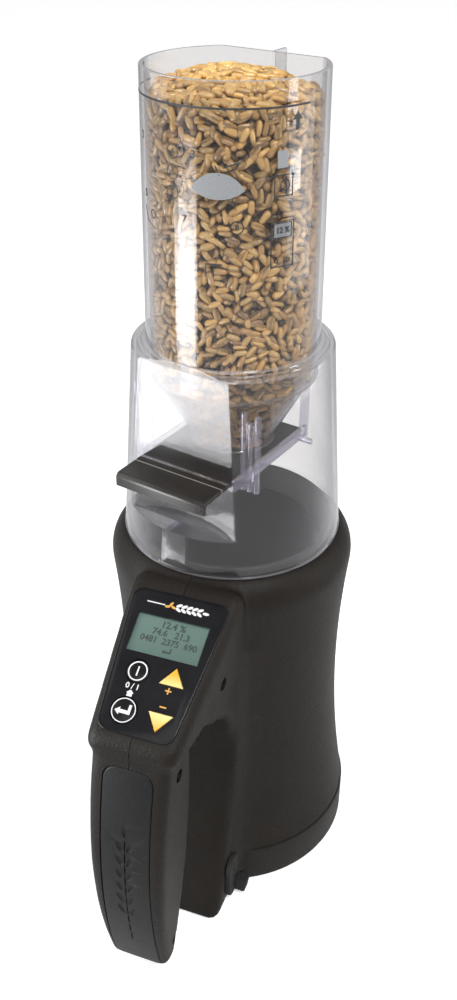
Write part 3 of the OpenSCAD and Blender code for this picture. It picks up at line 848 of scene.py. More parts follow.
def lettering(words, tall, at, thick=0.06, bold=0.03):
    """Numbers as a thin raised mesh on the XY plane, in millimetres."""
    curve = bpy.data.curves.new("numbers", "FONT")
    curve.body, curve.size = words, tall
    curve.align_x = curve.align_y = "CENTER"
    curve.extrude, curve.resolution_u, curve.offset = thick / 2, 3, bold * tall
    holder = bpy.data.objects.new("numbers", curve)
    scene.collection.objects.link(holder)
    bm = evaluated(holder)
    bmesh.ops.remove_doubles(bm, verts=bm.verts, dist=0.0001)
    return moved(bm, Matrix.Translation((*at, thick / 2)))


def enter_arrow(size, thick=0.08):
    """A return arrow: a bar that comes down from the right and runs to a head on the left."""
    outline = [(-1, -0.1), (-0.42, 0.36), (-0.42, 0.1), (0.52, 0.1), (0.52, 0.78), (0.86, 0.78)]
    outline += [(0.86, -0.32), (-0.42, -0.32), (-0.42, -0.56)]
    return prism([(x * size, y * size) for x, y in outline], 0, thick)


lcd_face = panel @ shift(0, 0, -1.2)
segments = moved(joined(
    lettering("12.4 %", 4.2, (0.4, -13.6)), lettering("74.6   21.3", 4.0, (0.4, -17.2)),
    lettering("0481  2375  690", 3.9, (0.4, -20.9)), moved(enter_arrow(2.2), shift(1.0, -24.9)),
), lcd_face)
segment_ink = finish("display segments", ink((0.018, 0.03, 0.027), (0.035, 0.05, 0.045)))
piece("lcd_segments", segments, segment_ink, "meter_body")

# ---------------------------------------------------------------- keypad
# A glossy black printed sheet with a window and four keys under it. Rings, arrows and
# small signs are printed in white and amber.


def gloss_black(start):
    smear = start.speckle(0.012, 4)
    return {
        "Base Color": smear.tint((0.0045, 0.0045, 0.006), (0.011, 0.011, 0.013)),
        "Roughness": 0.14 + 0.12 * smear,
        "Specular IOR Level": 0.2,
        "Coat Weight": 0.08 * smear,
        "Normal": start.raised(start.speckle(0.003, 2), 0.00003),
    }


def triangle(grow, low, high):
    """A key's three-cornered outline, grown by about the same all round."""
    half = 5.4 + 1.7 * grow
    return prism([(-half, -2.6 - grow), (half, -2.6 - grow), (0, 5.1 + 2 * grow)], low, high)


gloss = finish("gloss black panel", gloss_black)


def key_spot(key):
    """The middle of a key's CAD part, on the panel."""
    low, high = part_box(f"key_{key}")
    middle = panel.inverted() @ ((low + high) * 500)
    return middle.x, middle.y


power, enter = key_spot("power"), key_spot("enter")
up, down = (key_spot("up")[0], -36.2), (key_spot("down")[0], -53.6)
flip = Matrix.Scale(-1, 4, (0, 1, 0))
sheet = panel_shape(0, -0.9, 0.3)
sheet = carved(
    rounded(sheet, edges_past(sheet, 2, 0.29), 0.28, 3),
    block((-16.2, 16.2), (-28.1, -10.7), (-5, 5)),  # window of the display
    rod(5.3, -5, 5, power), rod(6, -5, 5, enter),
    moved(triangle(0.3, -5, 5), shift(*up)),
    outward(moved(triangle(0.3, -5, 5), shift(*down) @ flip)),
)
piece("panel_sheet", moved(sheet, panel), gloss, "meter_body", ["keypad_overlay"])

bead = panel_shape(0.45, -0.6, 0.55)
bead = carved(rounded(bead, edges_past(bead, 2, 0.5), 0.3, 3), panel_shape(-0.25, -2, 2))
piece("panel_rim", moved(bead, panel), gloss, "meter_body")

white_ink = finish("white print", ink((0.7, 0.7, 0.7), (0.84, 0.84, 0.83)))
amber_ink = finish("amber print", ink((0.6, 0.3, 0.045), (0.78, 0.42, 0.09)))


def band(radius, wide, low, high, at=(0, 0), steps=48):
    """A flat ring."""
    inner = radius - wide
    ring = spun([(inner, low), (radius, low), (radius, high), (inner, high)], steps, ring=True)
    return moved(ring, shift(*at))


for key, spot, r in (("power", power, 5.0), ("enter", enter, 5.7)):
    cap = spun([(0, -1.9), (r, -1.9), (r, 0.1), (r - 0.12, 0.28), (r - 0.4, 0.37), (0, 0.38)], 64)
    whole = moved(joined(cap, rod(r + 0.85, -2, -1.35)), panel @ shift(*spot))
    piece(f"key_cap_{key}", whole, gloss, f"{key}_key", [f"key_{key}"])
on_key = (0.36, 0.41)
power_mark = joined(band(4.25, 0.55, *on_key), eased(block((-0.32, 0.32), (-2.1, 2.1), on_key), 0.02))
enter_mark = joined(band(5.25, 0.42, *on_key), moved(enter_arrow(3.7, 0.05), shift(-0.15, -0.2, on_key[0])))
for key, spot, mark in (("power", power, power_mark), ("enter", enter, enter_mark)):
    piece(f"key_mark_{key}", moved(mark, panel @ shift(*spot)), white_ink, f"{key}_key")


def amber(sign):
    """Amber paint that fades to pale yellow at the key's broad edge."""

    def recipe(start):
        z = start.axis("z")
        middle = (panel @ Vector((0, (up if sign > 0 else down)[1], 0))).z / 1000
        fade = ((z - middle) * sign).between(-0.0013, 0.0018)
        return {
            "Base Color": (fade + 0.06 * start.speckle(0.001)).tint((0.93, 0.74, 0.3), (0.88, 0.42, 0.03)),
            "Roughness": 0.3 + 0.1 * start.speckle(0.002),
            "Normal": start.raised(start.speckle(0.0008), 0.00002),
        }

    return recipe


for key, spot, turn in (("up", up, Matrix.Identity(4)), ("down", down, flip)):
    cap = triangle(0, -1.9, 0.5)
    rounded(cap, edges_past(cap, 2, 0.49), 0.3, 3)
    whole = outward(moved(joined(cap, triangle(0.6, -2, -1.3)), panel @ shift(*spot) @ turn))
    paint = finish(f"amber key {key}", amber(1 if key == "up" else -1))
    piece(f"key_cap_{key}", whole, paint, f"{key}_key", [f"key_{key}"])


def kernel_sign(x, y, turn, size=1.0):
    """A grain kernel's outline, as a thin printed leaf."""
    leaf = Matrix.Diagonal((1.25 * size, 0.55 * size, 1, 1))
    return moved(rod(1, 0, 0.05, steps=20), shift(x, y, 0.3) @ rotation(turn, "Z") @ leaf)


printed = (0.3, 0.35)
ear = [kernel_sign(0.1 + 2.4 * i, -5.2 + s * 0.95, s * 28, 1.15) for i in range(5) for s in (-1, 1)]
ear.append(kernel_sign(12.4, -5.2, 0, 1.15))
buds = [kernel_sign(-3.6, -4.4, 60), kernel_sign(-2.2, -5.6, -20), kernel_sign(-4.9, -5.7, 10)]
stalk = eased(block((-14.5, -6.2), (-5.5, -5.0), printed), 0.02)
piece("panel_sign_ear", moved(joined(*buds), panel), amber_ink, "meter_body")
house = shift(power[0], -45.9)
roof = moved(prism([(-1.7, 0), (1.7, 0), (0, 1.4)], *printed), house)
walls = moved(block((-1.15, 1.15), (-1.5, 0.02), printed), house)
zero_one = moved(lettering("0 / 1", 3.4, (power[0] + 0.1, -43.0), 0.05, 0.02), shift(0, 0, printed[0]))
piece("panel_sign_white", moved(joined(stalk, roof, walls, zero_one, *ear), panel), white_ink, "meter_body")
plus = joined(block((-1.4, 1.4), (-0.3, 0.3), printed), block((-0.3, 0.3), (-1.4, 1.4), (0.3, 0.36)))
minus = block((-1.5, 1.5), (-0.3, 0.3), printed)
amber_signs = joined(moved(plus, shift(8, -41.2)), moved(minus, shift(8.1, -48.2)))
piece("panel_sign_amber", moved(amber_signs, panel), amber_ink, "meter_body")

# ---------------------------------------------------------------- battery bay
# Four small cells lie in a black tray behind a long door in the front of the grip. An ear
# of grain is sunk into the door's face by the mould.


def cell_wrap(start):
    height = start.axis("z") * 1000
    local = start.node("Math", {"operation": "MODULO"}, {0: height - 33, 1: 44.5})
    gold = local.between(31.9, 32.1)
    grime = start.speckle(0.002, 4)
    return {
        "Base Color": (gold * 0.85 + grime * 0.12).tint((0.02, 0.02, 0.022), (0.62, 0.4, 0.16)),
        "Metallic": gold * 0.7,
        "Roughness": 0.25 + 0.15 * grime,
        "Normal": start.raised(grime, 0.00002),
    }


dress(["batteries"], finish("battery wrap", cell_wrap))
dress(["battery_tray"], inner_black)
door = door_shape(0, 2.2)


def door_leaf(x, z, turn, long, wide):
    """A cutter shaped like a kernel, just under the door's surface."""
    leaf = bmesh.new()
    bmesh.ops.create_uvsphere(leaf, u_segments=20, v_segments=12, radius=1)
    place = shift(x, grip_front(z) - 0.35, z) @ rotation(turn, "Y")
    return moved(leaf, place @ Matrix.Diagonal((wide, 1.0, long, 1)))


leaves = [door_leaf(s * 2.7, 58 + 8 * i, s * 24, 3.7, 1.5) for i in range(6) for s in (-1, 1)]
leaves.append(door_leaf(0, 106.5, 0, 4.2, 1.6))
stem = [door_leaf(0, z, 0, 4.2, 0.42) for z in range(36, 104, 7)]
face_edges = [e for e in door.edges if all(v.co.y < grip_front(v.co.z) + 0.05 for v in e.verts)]
rounded(door, [e for e in face_edges if e.calc_face_angle(0) > radians(40)], 0.7, 3)
door_skin = moulded((0.005, 0.0052, 0.0055), (0.021, 0.0215, 0.023), 0.42, 0.0008, 0.00015)
door_black = finish("moulded black door", door_skin)
door = carved(door, *leaves, *stem)
piece("battery_door_shell", door, door_black, "battery_cover", ["battery_door"])

# ---------------------------------------------------------------- port plug
# A soft rubber plug closes the data port on the side of the web. A tab on it is pulled
# with a finger nail.

plug_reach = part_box("port_plug")[1].x * 1000
flange = block((23.6, 25.8), (-70.2, -57.8), (2.3, 27.7))
rounded(flange, edges_along(flange, 0, 1), 6.1, 8)
rounded(flange, edges_past(flange, 0, 25.7), 0.6, 3)
neck = eased(block((20, 24), (-66.8, -61.2), (11.7, 18.3)), 0.5)
tab = block((25.5, plug_reach), (-63.8, -58.2), (3.5, 11))
tilt = [v for v in tab.verts if v.co.x > 30 and v.co.z < 5]
bmesh.ops.translate(tab, verts=tilt, vec=(-1.2, 0, 0))
tab = eased(tab, 0.7, segments=3)
dimples = [moved(rod(0.9, 0, 3, steps=20), shift(25.3, -64, z) @ across) for z in (15, 19, 23)]
plug = carved(carved(flange, neck, tab, how="UNION"), *dimples)
piece("port_plug_rubber", plug, soft_rubber, "plug", ["port_plug"])

# ---------------------------------------------------------------- sample loader
# A clear moulded tube with a flat back and a fin stands on a wider clear collar. The
# collar's front is cut flat, and it rests loose on the body so that it lifts off.

loader_turn = rotation(-13, "Z")
wall = 1.9


def clear(edge, body, film_strength, tint, haze=0.0):
    """Clear acrylic: open when looked straight through, grey-lavender and shiny along its edges."""

    def recipe(start):
        rounded = start.node("Bevel", {"samples": 4}, {"Radius": 0.0007})
        facing = start.node("LayerWeight", None, {"Blend": 0.5, "Normal": rounded}, "Facing")
        level = start.node("SeparateXYZ", None, {0: start.node("NewGeometry", None, None, "Normal")}, "Z")
        ledge = level.maths("ABSOLUTE", level).between(0.6, 0.95)
        glare = 0.028 + haze + 0.9 * facing ** 5
        smear = start.speckle(0.025, 4)
        film = start.node("BsdfPrincipled", None, {
            "Base Color": (facing ** 3).tint(body, edge),
            "Metallic": 0.85,
            "Roughness": 0.035 + 0.05 * smear,
            "Normal": start.raised(start.speckle(0.014, 2), 0.00012),
        })
        open_part = start.node("BsdfTransparent", None, {"Color": (*tint, 1)})
        share = glare + (facing ** 3) * film_strength + 0.01 * smear + 0.5 * ledge
        return start.node("MixShader", None, {0: share, 1: open_part, 2: film})

    return recipe


clear_film = clear((0.2, 0.19, 0.24), (0.95, 0.95, 0.98), 0.6, (0.89, 0.886, 0.886))
clear_plastic = finish("clear acrylic", clear_film)
shell_low, shell_high = (c.z * 1000 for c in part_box("loader_shell"))
tube_foot_r, tube_top_r = 37.2, 36
shoulder_low, shoulder_high = 274.9, 277.1


def tube_solid(inset, low, high):
    """The tube's outside, or its inside at an inset: a slim cone with its back cut flat."""
    bm = rod(tube_foot_r - inset, low, high, steps=192, top=tube_top_r - inset)
    whole, back = bm.verts[:] + bm.edges[:] + bm.faces[:], (0, 27.1 - inset, 0)
    cut = bmesh.ops.bisect_plane(bm, geom=whole, plane_co=back, plane_no=(0, 1, 0), clear_outer=True)
    rim = [g for g in cut["geom_cut"] if isinstance(g, bmesh.types.BMEdge)]
    bmesh.ops.contextual_create(bm, geom=rim)
    return outward(bm)


def behind_face(inset):
    """Everything behind the collar's sloping flat front, and under the ledge below it."""
    face_y, ledge_z, far_z, far = -37.45, 203, 405, 80
    slope = (-40 - face_y) / (shoulder_low - 206.3)
    at_ledge = face_y + slope * (shoulder_low - ledge_z) + inset
    at_top = face_y - slope * (far_z - shoulder_low) + inset
    ledge = ledge_z - inset
    side = [(-far, 0), (-far, ledge), (at_ledge, ledge), (at_top, far_z), (far, far_z), (far, 0)]
    return side_solid(side, far)


collar = spun([
    (0, shell_low), (49.6, shell_low), (50, shell_low + 0.4), (50, shell_low + 1.8), (49.75, shell_low + 2.2),
    (43.6, 273.6), (43.35, 274.4), (42.8, shoulder_low), (41.0, 275.15), (40.8, 275.7), (39.2, 275.95),
    (39.0, 276.5), (37.4, shoulder_high), (0, shoulder_high),
], 192)
hollow = spun([(0, shell_low - 1), (48.1, shell_low - 1), (48.1, shell_low), (41.3, 273), (0, 273)], 192)
hollow = carved(hollow, behind_face(wall), how="INTERSECT")
collar = carved(carved(collar, hollow), behind_face(0), how="INTERSECT")
tube = tube_solid(0, shoulder_high - 1, shell_high)
rounded(tube, edges_past(tube, 2, shell_high - 0.1), 0.55, 3)
fin = block((-0.8, 0.8), (26.5, 36.4), (shoulder_high - 1, shell_high))
fin_back, fin_top = edges_past(fin, 1, 36), edges_past(fin, 2, shell_high - 1)
rounded(fin, [e for e in fin.edges if e in fin_back or e in fin_top], 0.4, 2)
loader = carved(
    carved(collar, tube, fin, how="UNION"),
    tube_solid(wall, 264.9, shell_high + 1),
    block((-22.8, 22.8), (-50, -25), (226.3, 228.7)),  # slot of the gate
)
loader = moved(loader, loader_turn)
piece("loader_shell_clear", loader, clear_plastic, "loader", ["loader_shell"], 24)

# ---------------------------------------------------------------- funnel
# A clear funnel welded under the tube leads the grain to a round outlet just above the
# gate. Its upper part is a plain sleeve.

cone = spun([
    (35.4, 273), (33.7, 273), (33.7, 261.4), (33.2, 260.4), (18.2, 233.6), (17.6, 232.4), (17.6, 229.3),
    (17.9, 229), (19.0, 229), (19.3, 229.3), (19.3, 232.3), (19.6, 233.2), (34.6, 260.2), (36.3, 260.4),
    (36.6, 260.8), (36.6, 261.6), (35.4, 262.1),
], ring=True)
piece("funnel_clear", moved(cone, loader_turn), clear_plastic, "loader", ["funnel"])

# ---------------------------------------------------------------- gate guides
# Two clear rails hold the gate's edges. Each hangs from a notched front post with three
# round ribs and from a thin post at the back.


def guide():
    """The rail on the right, made as one moulding and cut to fit the funnel's wall."""
    rail = block((22.8, 24.6), (-36, 24), (224.3, 229.7))
    lip = block((20.6, 23.6), (-36, 24), (224.3, 226.2))
    left, middle, right = 24.1, 27.4, 30.7
    posts = []
    for x, top in ((left, 259), (middle, 255), (right, 259)):
        post = rod(1.4, 222.9, top, (x, -28.7), 20)
        posts.append(rounded(post, edges_past(post, 2, 254.9), 0.8, 3))
    web = prism([(left, 228), (right, 228), (right, 257.5), (middle, 251), (left, 257.5)], 28.2, 29.2)
    front_view = Matrix(((1, 0, 0, 0), (0, 0, -1, 0), (0, 1, 0, 0), (0, 0, 0, 1)))
    notch = outward(moved(web, front_view))
    rear = eased(block((22.8, 26.8), (19.5, 21.1), (222.9, 256)), 0.4)
    hook = eased(block((25.6, 29.6), (19.5, 21.1), (222.9, 225.4)), 0.5)
    whole = carved(eased(rail, 0.35), eased(lip, 0.3), *posts, notch, rear, hook, how="UNION")
    cone_room = spun([(0, 229), (19.45, 229), (19.45, 232.3), (35.45, 261), (35.45, 275), (0, 275)], 96)
    return carved(whole, cone_room)


other_side = outward(moved(guide(), Matrix.Scale(-1, 4, (1, 0, 0))))
guides = moved(joined(guide(), other_side), loader_turn)
milky_film = clear((0.34, 0.32, 0.42), (0.9, 0.88, 1.0), 0.8, (0.9, 0.89, 0.93), haze=0.09)
guide_plastic = finish("milky clear acrylic", milky_film)
piece("gate_guide_rails", guides, guide_plastic, "loader", ["gate_guides"])

# ---------------------------------------------------------------- gate
# A black steel plate with a folded lever. Pulling it opens the funnel and lets the grain
# drop into the cup.


def lacquer(start):
    """Glossy black lacquer, with a painted highlight along a fold line across the plate: a thin line of lighter,
    half metallic colour.
    """
    smear = start.speckle(0.02, 4, stretch=(1, 0.25, 1))
    along = tuple(loader_turn @ Vector((0, 1, 0)))
    reach = start.node("VectorMath", {"operation": "DOT_PRODUCT"}, {0: start.place(), 1: along}, "Value")
    from_fold = reach + 0.04238
    # Painted highlight: a thin, lighter, half metallic line along the fold
    fold_highlight = 1 - from_fold.maths("ABSOLUTE", from_fold).between(0.00016, 0.00034)
    return {
        "Base Color": (0.06 * smear + fold_highlight).tint((0.005, 0.0038, 0.003), (0.5, 0.47, 0.44)),
        "Metallic": 0.8 * fold_highlight,
        "Roughness": 0.2 + 0.2 * smear,
        "Specular IOR Level": 0.35,
        "Normal": start.raised(start.speckle(0.001, 3), 0.00003),
    }


gate_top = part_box("gate_slide")[1].z * 1000
back, tip, bend, lever, lip = 22, -55.8, 2.4, 6, 1.8
side = [(back, gate_top - 2), (back, gate_top)]
for angle in range(0, 91, 10):
    a = radians(angle)
    side.append((tip + bend - bend * sin(a), gate_top - bend + bend * cos(a)))
side += [(tip, gate_top - lever), (tip + lip, gate_top - lever)]
side += [(tip + lip, gate_top - 3), (tip + lip + 1, gate_top - 2)]
plate = side_solid(side, 22.5)
corners = [e for e in plate.edges if abs(e.verts[0].co.x) > 22 and length_along(e, 0) < 0.1]
fold_line = block((-22, 22), (-42.55, -42.2), (gate_top - 0.12, gate_top + 1))
plate = moved(carved(rounded(plate, corners, 0.35, 2), fold_line), loader_turn)
gate_black = finish("black lacquered steel", lacquer)
piece("gate_plate", plate, gate_black, "gate", ["gate_slide"])

# ---------------------------------------------------------------- print on the tube
# Dark signs printed round the tube: a fill line, an arrow, step numbers and small
# pictures of pouring, levelling and reading.


def tube_radius(z):
    """The tube's outer radius at a height."""
    return tube_foot_r + (tube_top_r - tube_foot_r) * (z - shoulder_high) / (385.3 - shoulder_high)


film = (0, 0.05)


def wrapped(bm, azimuth, z):
    """Bends a flat print round the tube, its middle at an azimuth from -Y and a height."""
    for v in bm.verts:
        height = z + v.co.y
        r = tube_radius(height) + 0.04 + v.co.z
        a = radians(azimuth) + v.co.x / tube_radius(z)
        v.co = (r * sin(a), -r * cos(a), height)
    return bm


def strip(points, wide):
    """A printed line along points, wide millimetres across."""
    parts = []
    for (ax, ay), (bx, by) in zip(points, points[1:]):
        bar = block((-wide / 2, hypot(bx - ax, by - ay) + wide / 2), (-wide / 2, wide / 2), film)
        turn = Matrix.Rotation(atan2(by - ay, bx - ax), 4, "Z")
        parts.append(moved(bar, shift(ax, ay) @ turn))
    return joined(*parts)


def hoop(r, wide=0.46):
    return band(r, wide, *film, steps=36)


def frame_line(w, h, wide=0.5):
    x, y = w / 2, h / 2
    return strip([(-x, -y), (x, -y), (x, y), (-x, y), (-x, -y)], wide)


def number(word, tall, azimuth, z):
    return wrapped(lettering(word, tall, (0, 0), film[1]), azimuth, z)


fill_z, fill_from, fill_to, fill_steps = 376.3, -95, 67.7, 80
fill = sliced(block((-40, 40), (-0.38, 0.38), film), 0, between(-40, 40, fill_steps))
for v in fill.verts:
    v.co.x = (v.co.x / 40) * radians(fill_to - fill_from) / 2 * tube_radius(fill_z)
arrow = joined(prism([(-2.4, 0.4), (2.4, 0.4), (0, 3.3)], *film), block((-0.85, 0.85), (-3.2, 0.5), film))
prints = [wrapped(fill, (fill_from + fill_to) / 2, fill_z), wrapped(arrow, 58, 371)]
for word, azimuth, z in (("4", -18.2, 360), ("5", -18.4, 352.6), ("6", -18.6, 345.2)):
    prints += [wrapped(hoop(2.75), azimuth, z), number(word, 3.2, azimuth, z)]
for word, azimuth, z in (("3", -4.2, 360), ("7", -10.3, 336.2), ("2", -50, 362), ("5", -46, 341)):
    prints.append(number(word, 4.0, azimuth, z))
prints += [wrapped(hoop(2.6), 21.6, 334.6), number("8", 3.0, 21.6, 334.6)]
scoop = strip([(-4.2, 1.9), (-3.0, -1.0), (3.2, 1.3), (4.2, 3.4), (-1.2, 1.6)], 0.55)
tester = joined(frame_line(9.6, 17.2), *[moved(hoop(0.9), shift(x, -6.3)) for x in (-2.6, 2.6)])
reading = joined(moved(frame_line(7.6, 5.4, 0.4), shift(0, 5.3)), lettering("12 %", 3.0, (0, 5.3), 0.06))
cup_walls = strip([(-3.8, 0), (-3.8, -7.6), (3.8, -7.6), (3.8, 0)], 0.5)
cup_sign = joined(strip([(-4.6, 0), (4.6, 0)], 0.5), cup_walls, moved(hoop(2.2), shift(0.6, -3.6)))
knife = joined(strip([(-4, 3), (-2, -2), (3.5, -4)], 0.55), moved(hoop(1.8), shift(2.6, 1.4)))
corner = joined(strip([(-3, -2.4), (-3, 2.4), (3, 2.4)], 0.5), strip([(0, -2.4), (0, 1)], 0.5))
pictures = (
    (scoop, 15.7, 354.6), (tester, 49.6, 327), (reading, 49.6, 327), (cup_sign, 49.5, 352.6),
    (knife, -41, 333), (corner, 8, 318),
)
prints += [wrapped(*picture) for picture in pictures]
dark_ink = finish("dark tube print", ink((0.012, 0.012, 0.015), (0.035, 0.035, 0.04)))
piece("tube_print_dark", joined(*prints), dark_ink, "loader")
heap_outline = bow((10, -1), (-10, -1), 6.4, 10) + bow((-10, -1), (10, -1), 3.4, 8)[1:-1]
heap_sign = sliced(prism(heap_outline, *film), 0, range(-9, 10))
column_sign = block((-2.2, 2.2), (0, 6.2), film)
screen = block((-3.7, 3.7), (2.7, 7.9), (-0.03, 0.0))
grey_ink = finish("grey tube print", ink((0.2, 0.21, 0.22), (0.3, 0.31, 0.32)))
greys = joined(wrapped(heap_sign, 10.2, 349.0), wrapped(column_sign, 48.6, 355.2), wrapped(screen, 49.6, 327))
piece("tube_print_grey", greys, grey_ink, "loader")

# ---------------------------------------------------------------- grain
# A loose sample of wheat fills the funnel and the tube and is heaped at its mouth. Each
# kernel is a plump oval with a crease along one side, and no two have the same shade.


kernel_half = (2.95, 1.42, 1.28)


def kernel_mesh():
    """A blunt oval along X with a crease along its underside, in a few dozen faces."""
    bm = bmesh.new()
    bmesh.ops.create_uvsphere(bm, u_segments=8, v_segments=6, radius=1)
    bmesh.ops.rotate(bm, verts=bm.verts, matrix=Matrix.Rotation(radians(90), 3, "Y"))
    for v in bm.verts:
        x, y, z = v.co
        plump = (1 - 0.13 * x) * (1 + 0.42 * x * x)
        groove = 0.3 * (1 - x * x) * max(0.0, 1 - abs(y) * 3.2) if z < 0 else 0.0
        v.co = (x * kernel_half[0], y * kernel_half[1] * plump, z * kernel_half[2] * plump + groove * 1.6)
    bm.verts.index_update()
    return outward(bm)


kernel = kernel_mesh()
kernel_points = np.array([v.co[:] for v in kernel.verts])
in_crease = [abs(y) < 0.1 and z < 0 and abs(x) < 2.9 for x, y, z in kernel_points]
kernel_crease = np.array(in_crease, float)
kernel_faces = [[v.index for v in f.verts] for f in kernel.faces]
chance = np.random.default_rng(7)
disc_apart, disc_wide = 1.72, 2.5


def packed(wide, tall, count, rounds, wraps=True):
    """Places kernels on a sheet so that they touch without lying over each other.

    Each kernel is three discs in a row. Discs that overlap push their kernels apart, and
    turn them. A sheet that wraps is rolled up, so that its left edge meets its right edge."""
    at = chance.random((count, 2)) * (wide, tall)
    turn = chance.normal(0, 1, count) * 0.75 + np.where(chance.random(count) < 0.5, 0.5, -0.5)
    for _ in range(rounds):
        along = np.stack([np.cos(turn), np.sin(turn)], 1) * disc_apart
        discs = np.concatenate([at - along, at, at + along])
        owner = np.tile(np.arange(count), 3)
        if wraps:
            low, high = discs[:, 0] < 4, discs[:, 0] > wide - 4
            discs = np.concatenate([discs, discs[low] + (wide, 0), discs[high] - (wide, 0)])
            owner = np.concatenate([owner, owner[low], owner[high]])
        tree = KDTree(len(discs))
        for i, (x, y) in enumerate(discs):
            tree.insert((x, y, 0), i)
        tree.balance()
        push, spin_push = np.zeros((count, 2)), np.zeros(count)
        for i in range(3 * count):
            me = owner[i]
            for _, j, gap in tree.find_range((discs[i, 0], discs[i, 1], 0), disc_wide):
                if owner[j] == me or gap < 1e-6:
                    continue
                away = (discs[i] - discs[j]) / gap * (disc_wide - gap) * 0.22
                push[me] += away
                arm = discs[i] - (at[me] if abs(discs[i, 0] - at[me, 0]) < 5 else discs[i])
                spin_push[me] += (arm[0] * away[1] - arm[1] * away[0]) * 0.12
        at += push
        turn += np.clip(spin_push, -0.3, 0.3)
        at[:, 1] = np.clip(at[:, 1], 0, tall)
        if wraps:
            at[:, 0] %= wide
    return at, turn


def strewn(name, places):
    """One mesh of many kernels. Each place is a centre, the kernel's directions and its light."""
    count, size = len(places), len(kernel_points)
    verts = np.zeros((count, size, 3))
    tone = np.zeros((count, 3))
    lit = np.repeat([place[2] for place in places], size)
    for i, (centre, axes, _) in enumerate(places):
        scale = np.ones(3) * (0.92 + 0.16 * chance.random()) * (1, 0.92 + 0.2 * chance.random(), 1)
        verts[i] = (kernel_points * scale) @ np.array(axes) + np.array(centre)
        tone[i] = chance.random(3)
    mesh = bpy.data.meshes.new(name)
    faces = [[k + i * size for k in f] for i in range(count) for f in kernel_faces]
    mesh.from_pydata((verts.reshape(-1, 3) * 0.001).tolist(), [], faces)
    shade = mesh.color_attributes.new("kernel", "FLOAT_COLOR", "POINT")
    colours = np.ones((count * size, 4), np.float32)
    colours[:, :3] = np.repeat(tone, size, axis=0)
    colours[:, 2] = np.tile(kernel_points[:, 0] / kernel_half[0] * 0.5 + 0.5, count)
    # The alpha channel is painted light: each kernel's light, lowered along its crease as painted shade
    colours[:, 3] = lit * (1 - 0.6 * np.tile(kernel_crease, count))
    shade.data.foreach_set("color", colours.ravel())
    mesh.materials.append(wheat)
    mesh.shade_smooth()
    made = bpy.data.objects.new(name, mesh)
    scene.collection.objects.link(made)
    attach(made, "loader")


def wheat_skin(start):
    """Golden husk, different on each kernel, brown at both ends and dark where little light falls.

    The kernel attribute holds two chance values, the place along the kernel and its light."""
    shade = start.node("Attribute", {"attribute_name": "kernel"}, None, "Color")
    first, second, along = (
        start.node("SeparateColor", None, {"Color": shade}, part) for part in ("Red", "Green", "Blue")
    )
    light = start.node("Attribute", {"attribute_name": "kernel"}, None, "Alpha")
    mottle = start.speckle(0.0011, 3)
    gold = first.tint((0.34, 0.145, 0.02), (0.88, 0.5, 0.12))
    cream = (second * 0.35 + 0.25 * mottle).tint(gold, (0.92, 0.66, 0.27))
    tip = (along.between(0.8, 1.0) + (1 - along).between(0.84, 1.0) * 0.6) * 0.55
    browned = tip.tint(cream, (0.2, 0.085, 0.02))
    return {
        "Base Color": light.tint((0.03, 0.011, 0.002), browned),
        "Roughness": 0.2 + 0.2 * mottle,
        "Specular IOR Level": 1.0,
        "Normal": start.raised(start.speckle(0.0007, 2, stretch=(1, 1, 0.5)), 0.0001),
    }


wheat = finish("wheat", wheat_skin)


def rolled(long, third, back, roll):
    """A kernel's three directions after it has rolled about its length."""
    y = third * cos(roll) + back * sin(roll)
    z = -third * sin(roll) + back * cos(roll)
    return [tuple(long), tuple(y), tuple(z)]


def any_turn():
    return chance.random() * 6.283


def against(out, turn, lean=0.0, roll=None):
    """Directions of a kernel that lies against a wall whose outward direction is out."""
    out = Vector(out).normalized()
    side = Vector((0, 0, 1)).cross(out)
    side = side.normalized() if side.length > 0.05 else Vector((1, 0, 0))
    up_wall = out.cross(side)
    long = side * cos(turn) + up_wall * sin(turn)
    long = (long + out * lean).normalized()
    third = out.cross(long).normalized()
    back = long.cross(third).normalized()
    return rolled(long, third, back, any_turn() if roll is None else roll)


def tube_wall(inset):
    """The tube's inner outline at inset from the wall, as a closed loop that starts at the back."""
    r, flat = 34.4 - inset, 25.2 - inset
    half = asin(sqrt(r * r - flat * flat) / r)
    arc = (2 * pi - 2 * half) * r
    chord = 2 * r * sin(half)

    def at(s):
        s %= arc + chord
        if s < arc:
            a = pi - half - s / r
            return (sin(a) * r, -cos(a) * r), (sin(a), -cos(a))
        return (-r * sin(half) + (s - arc), flat), (0, 1)

    return arc + chord, at


heap_foot = 373.5
funnel_top_z, funnel_top_r, funnel_neck_r, funnel_tall = 261, 33.5, 17.6, 27.5


def heap_z(x, y):
    """The heap's uneven surface."""
    d = hypot(x + 2, y - 1) / 35
    return heap_foot + 7.6 * max(0.0, 1 - d ** 2) + 0.8 * sin(x * 0.33 + 1) * cos(y * 0.27)


# Two layers of kernels stand for a full tube: one at the wall, and a dim one behind it
column_layers = (("grain_column", 1.4, 1760, 24, 1.0), ("grain_column_inner", 3.8, 1420, 12, 0.26))
for name, inset, count, rounds, light in column_layers:
    tube_places = []
    around, at = tube_wall(inset)
    spots, turns = packed(around, heap_foot - funnel_top_z, count, rounds)
    for (s, h), turn in zip(spots, turns):
        (x, y), out = at(s)
        # About one kernel in four stands on end and sits a little deeper, clear of the wall
        if chance.random() < 0.75:
            lean = chance.normal() * 0.12
        else:
            lean = (0.5 + chance.random()) * chance.choice((-1, 1))
        deep = chance.random() * 0.6 + max(0.0, 2.8 * abs(lean) / sqrt(1 + lean * lean) - 1.1)
        roll = any_turn()
        centre = loader_turn @ Vector((x - out[0] * deep, y - out[1] * deep, funnel_top_z + h))
        axes = against(loader_turn.to_3x3() @ Vector((*out, 0)), turn, lean, roll)
        tube_places.append((centre, axes, light * (1 - 0.35 * chance.random() ** 2)))
    strewn(name, tube_places)

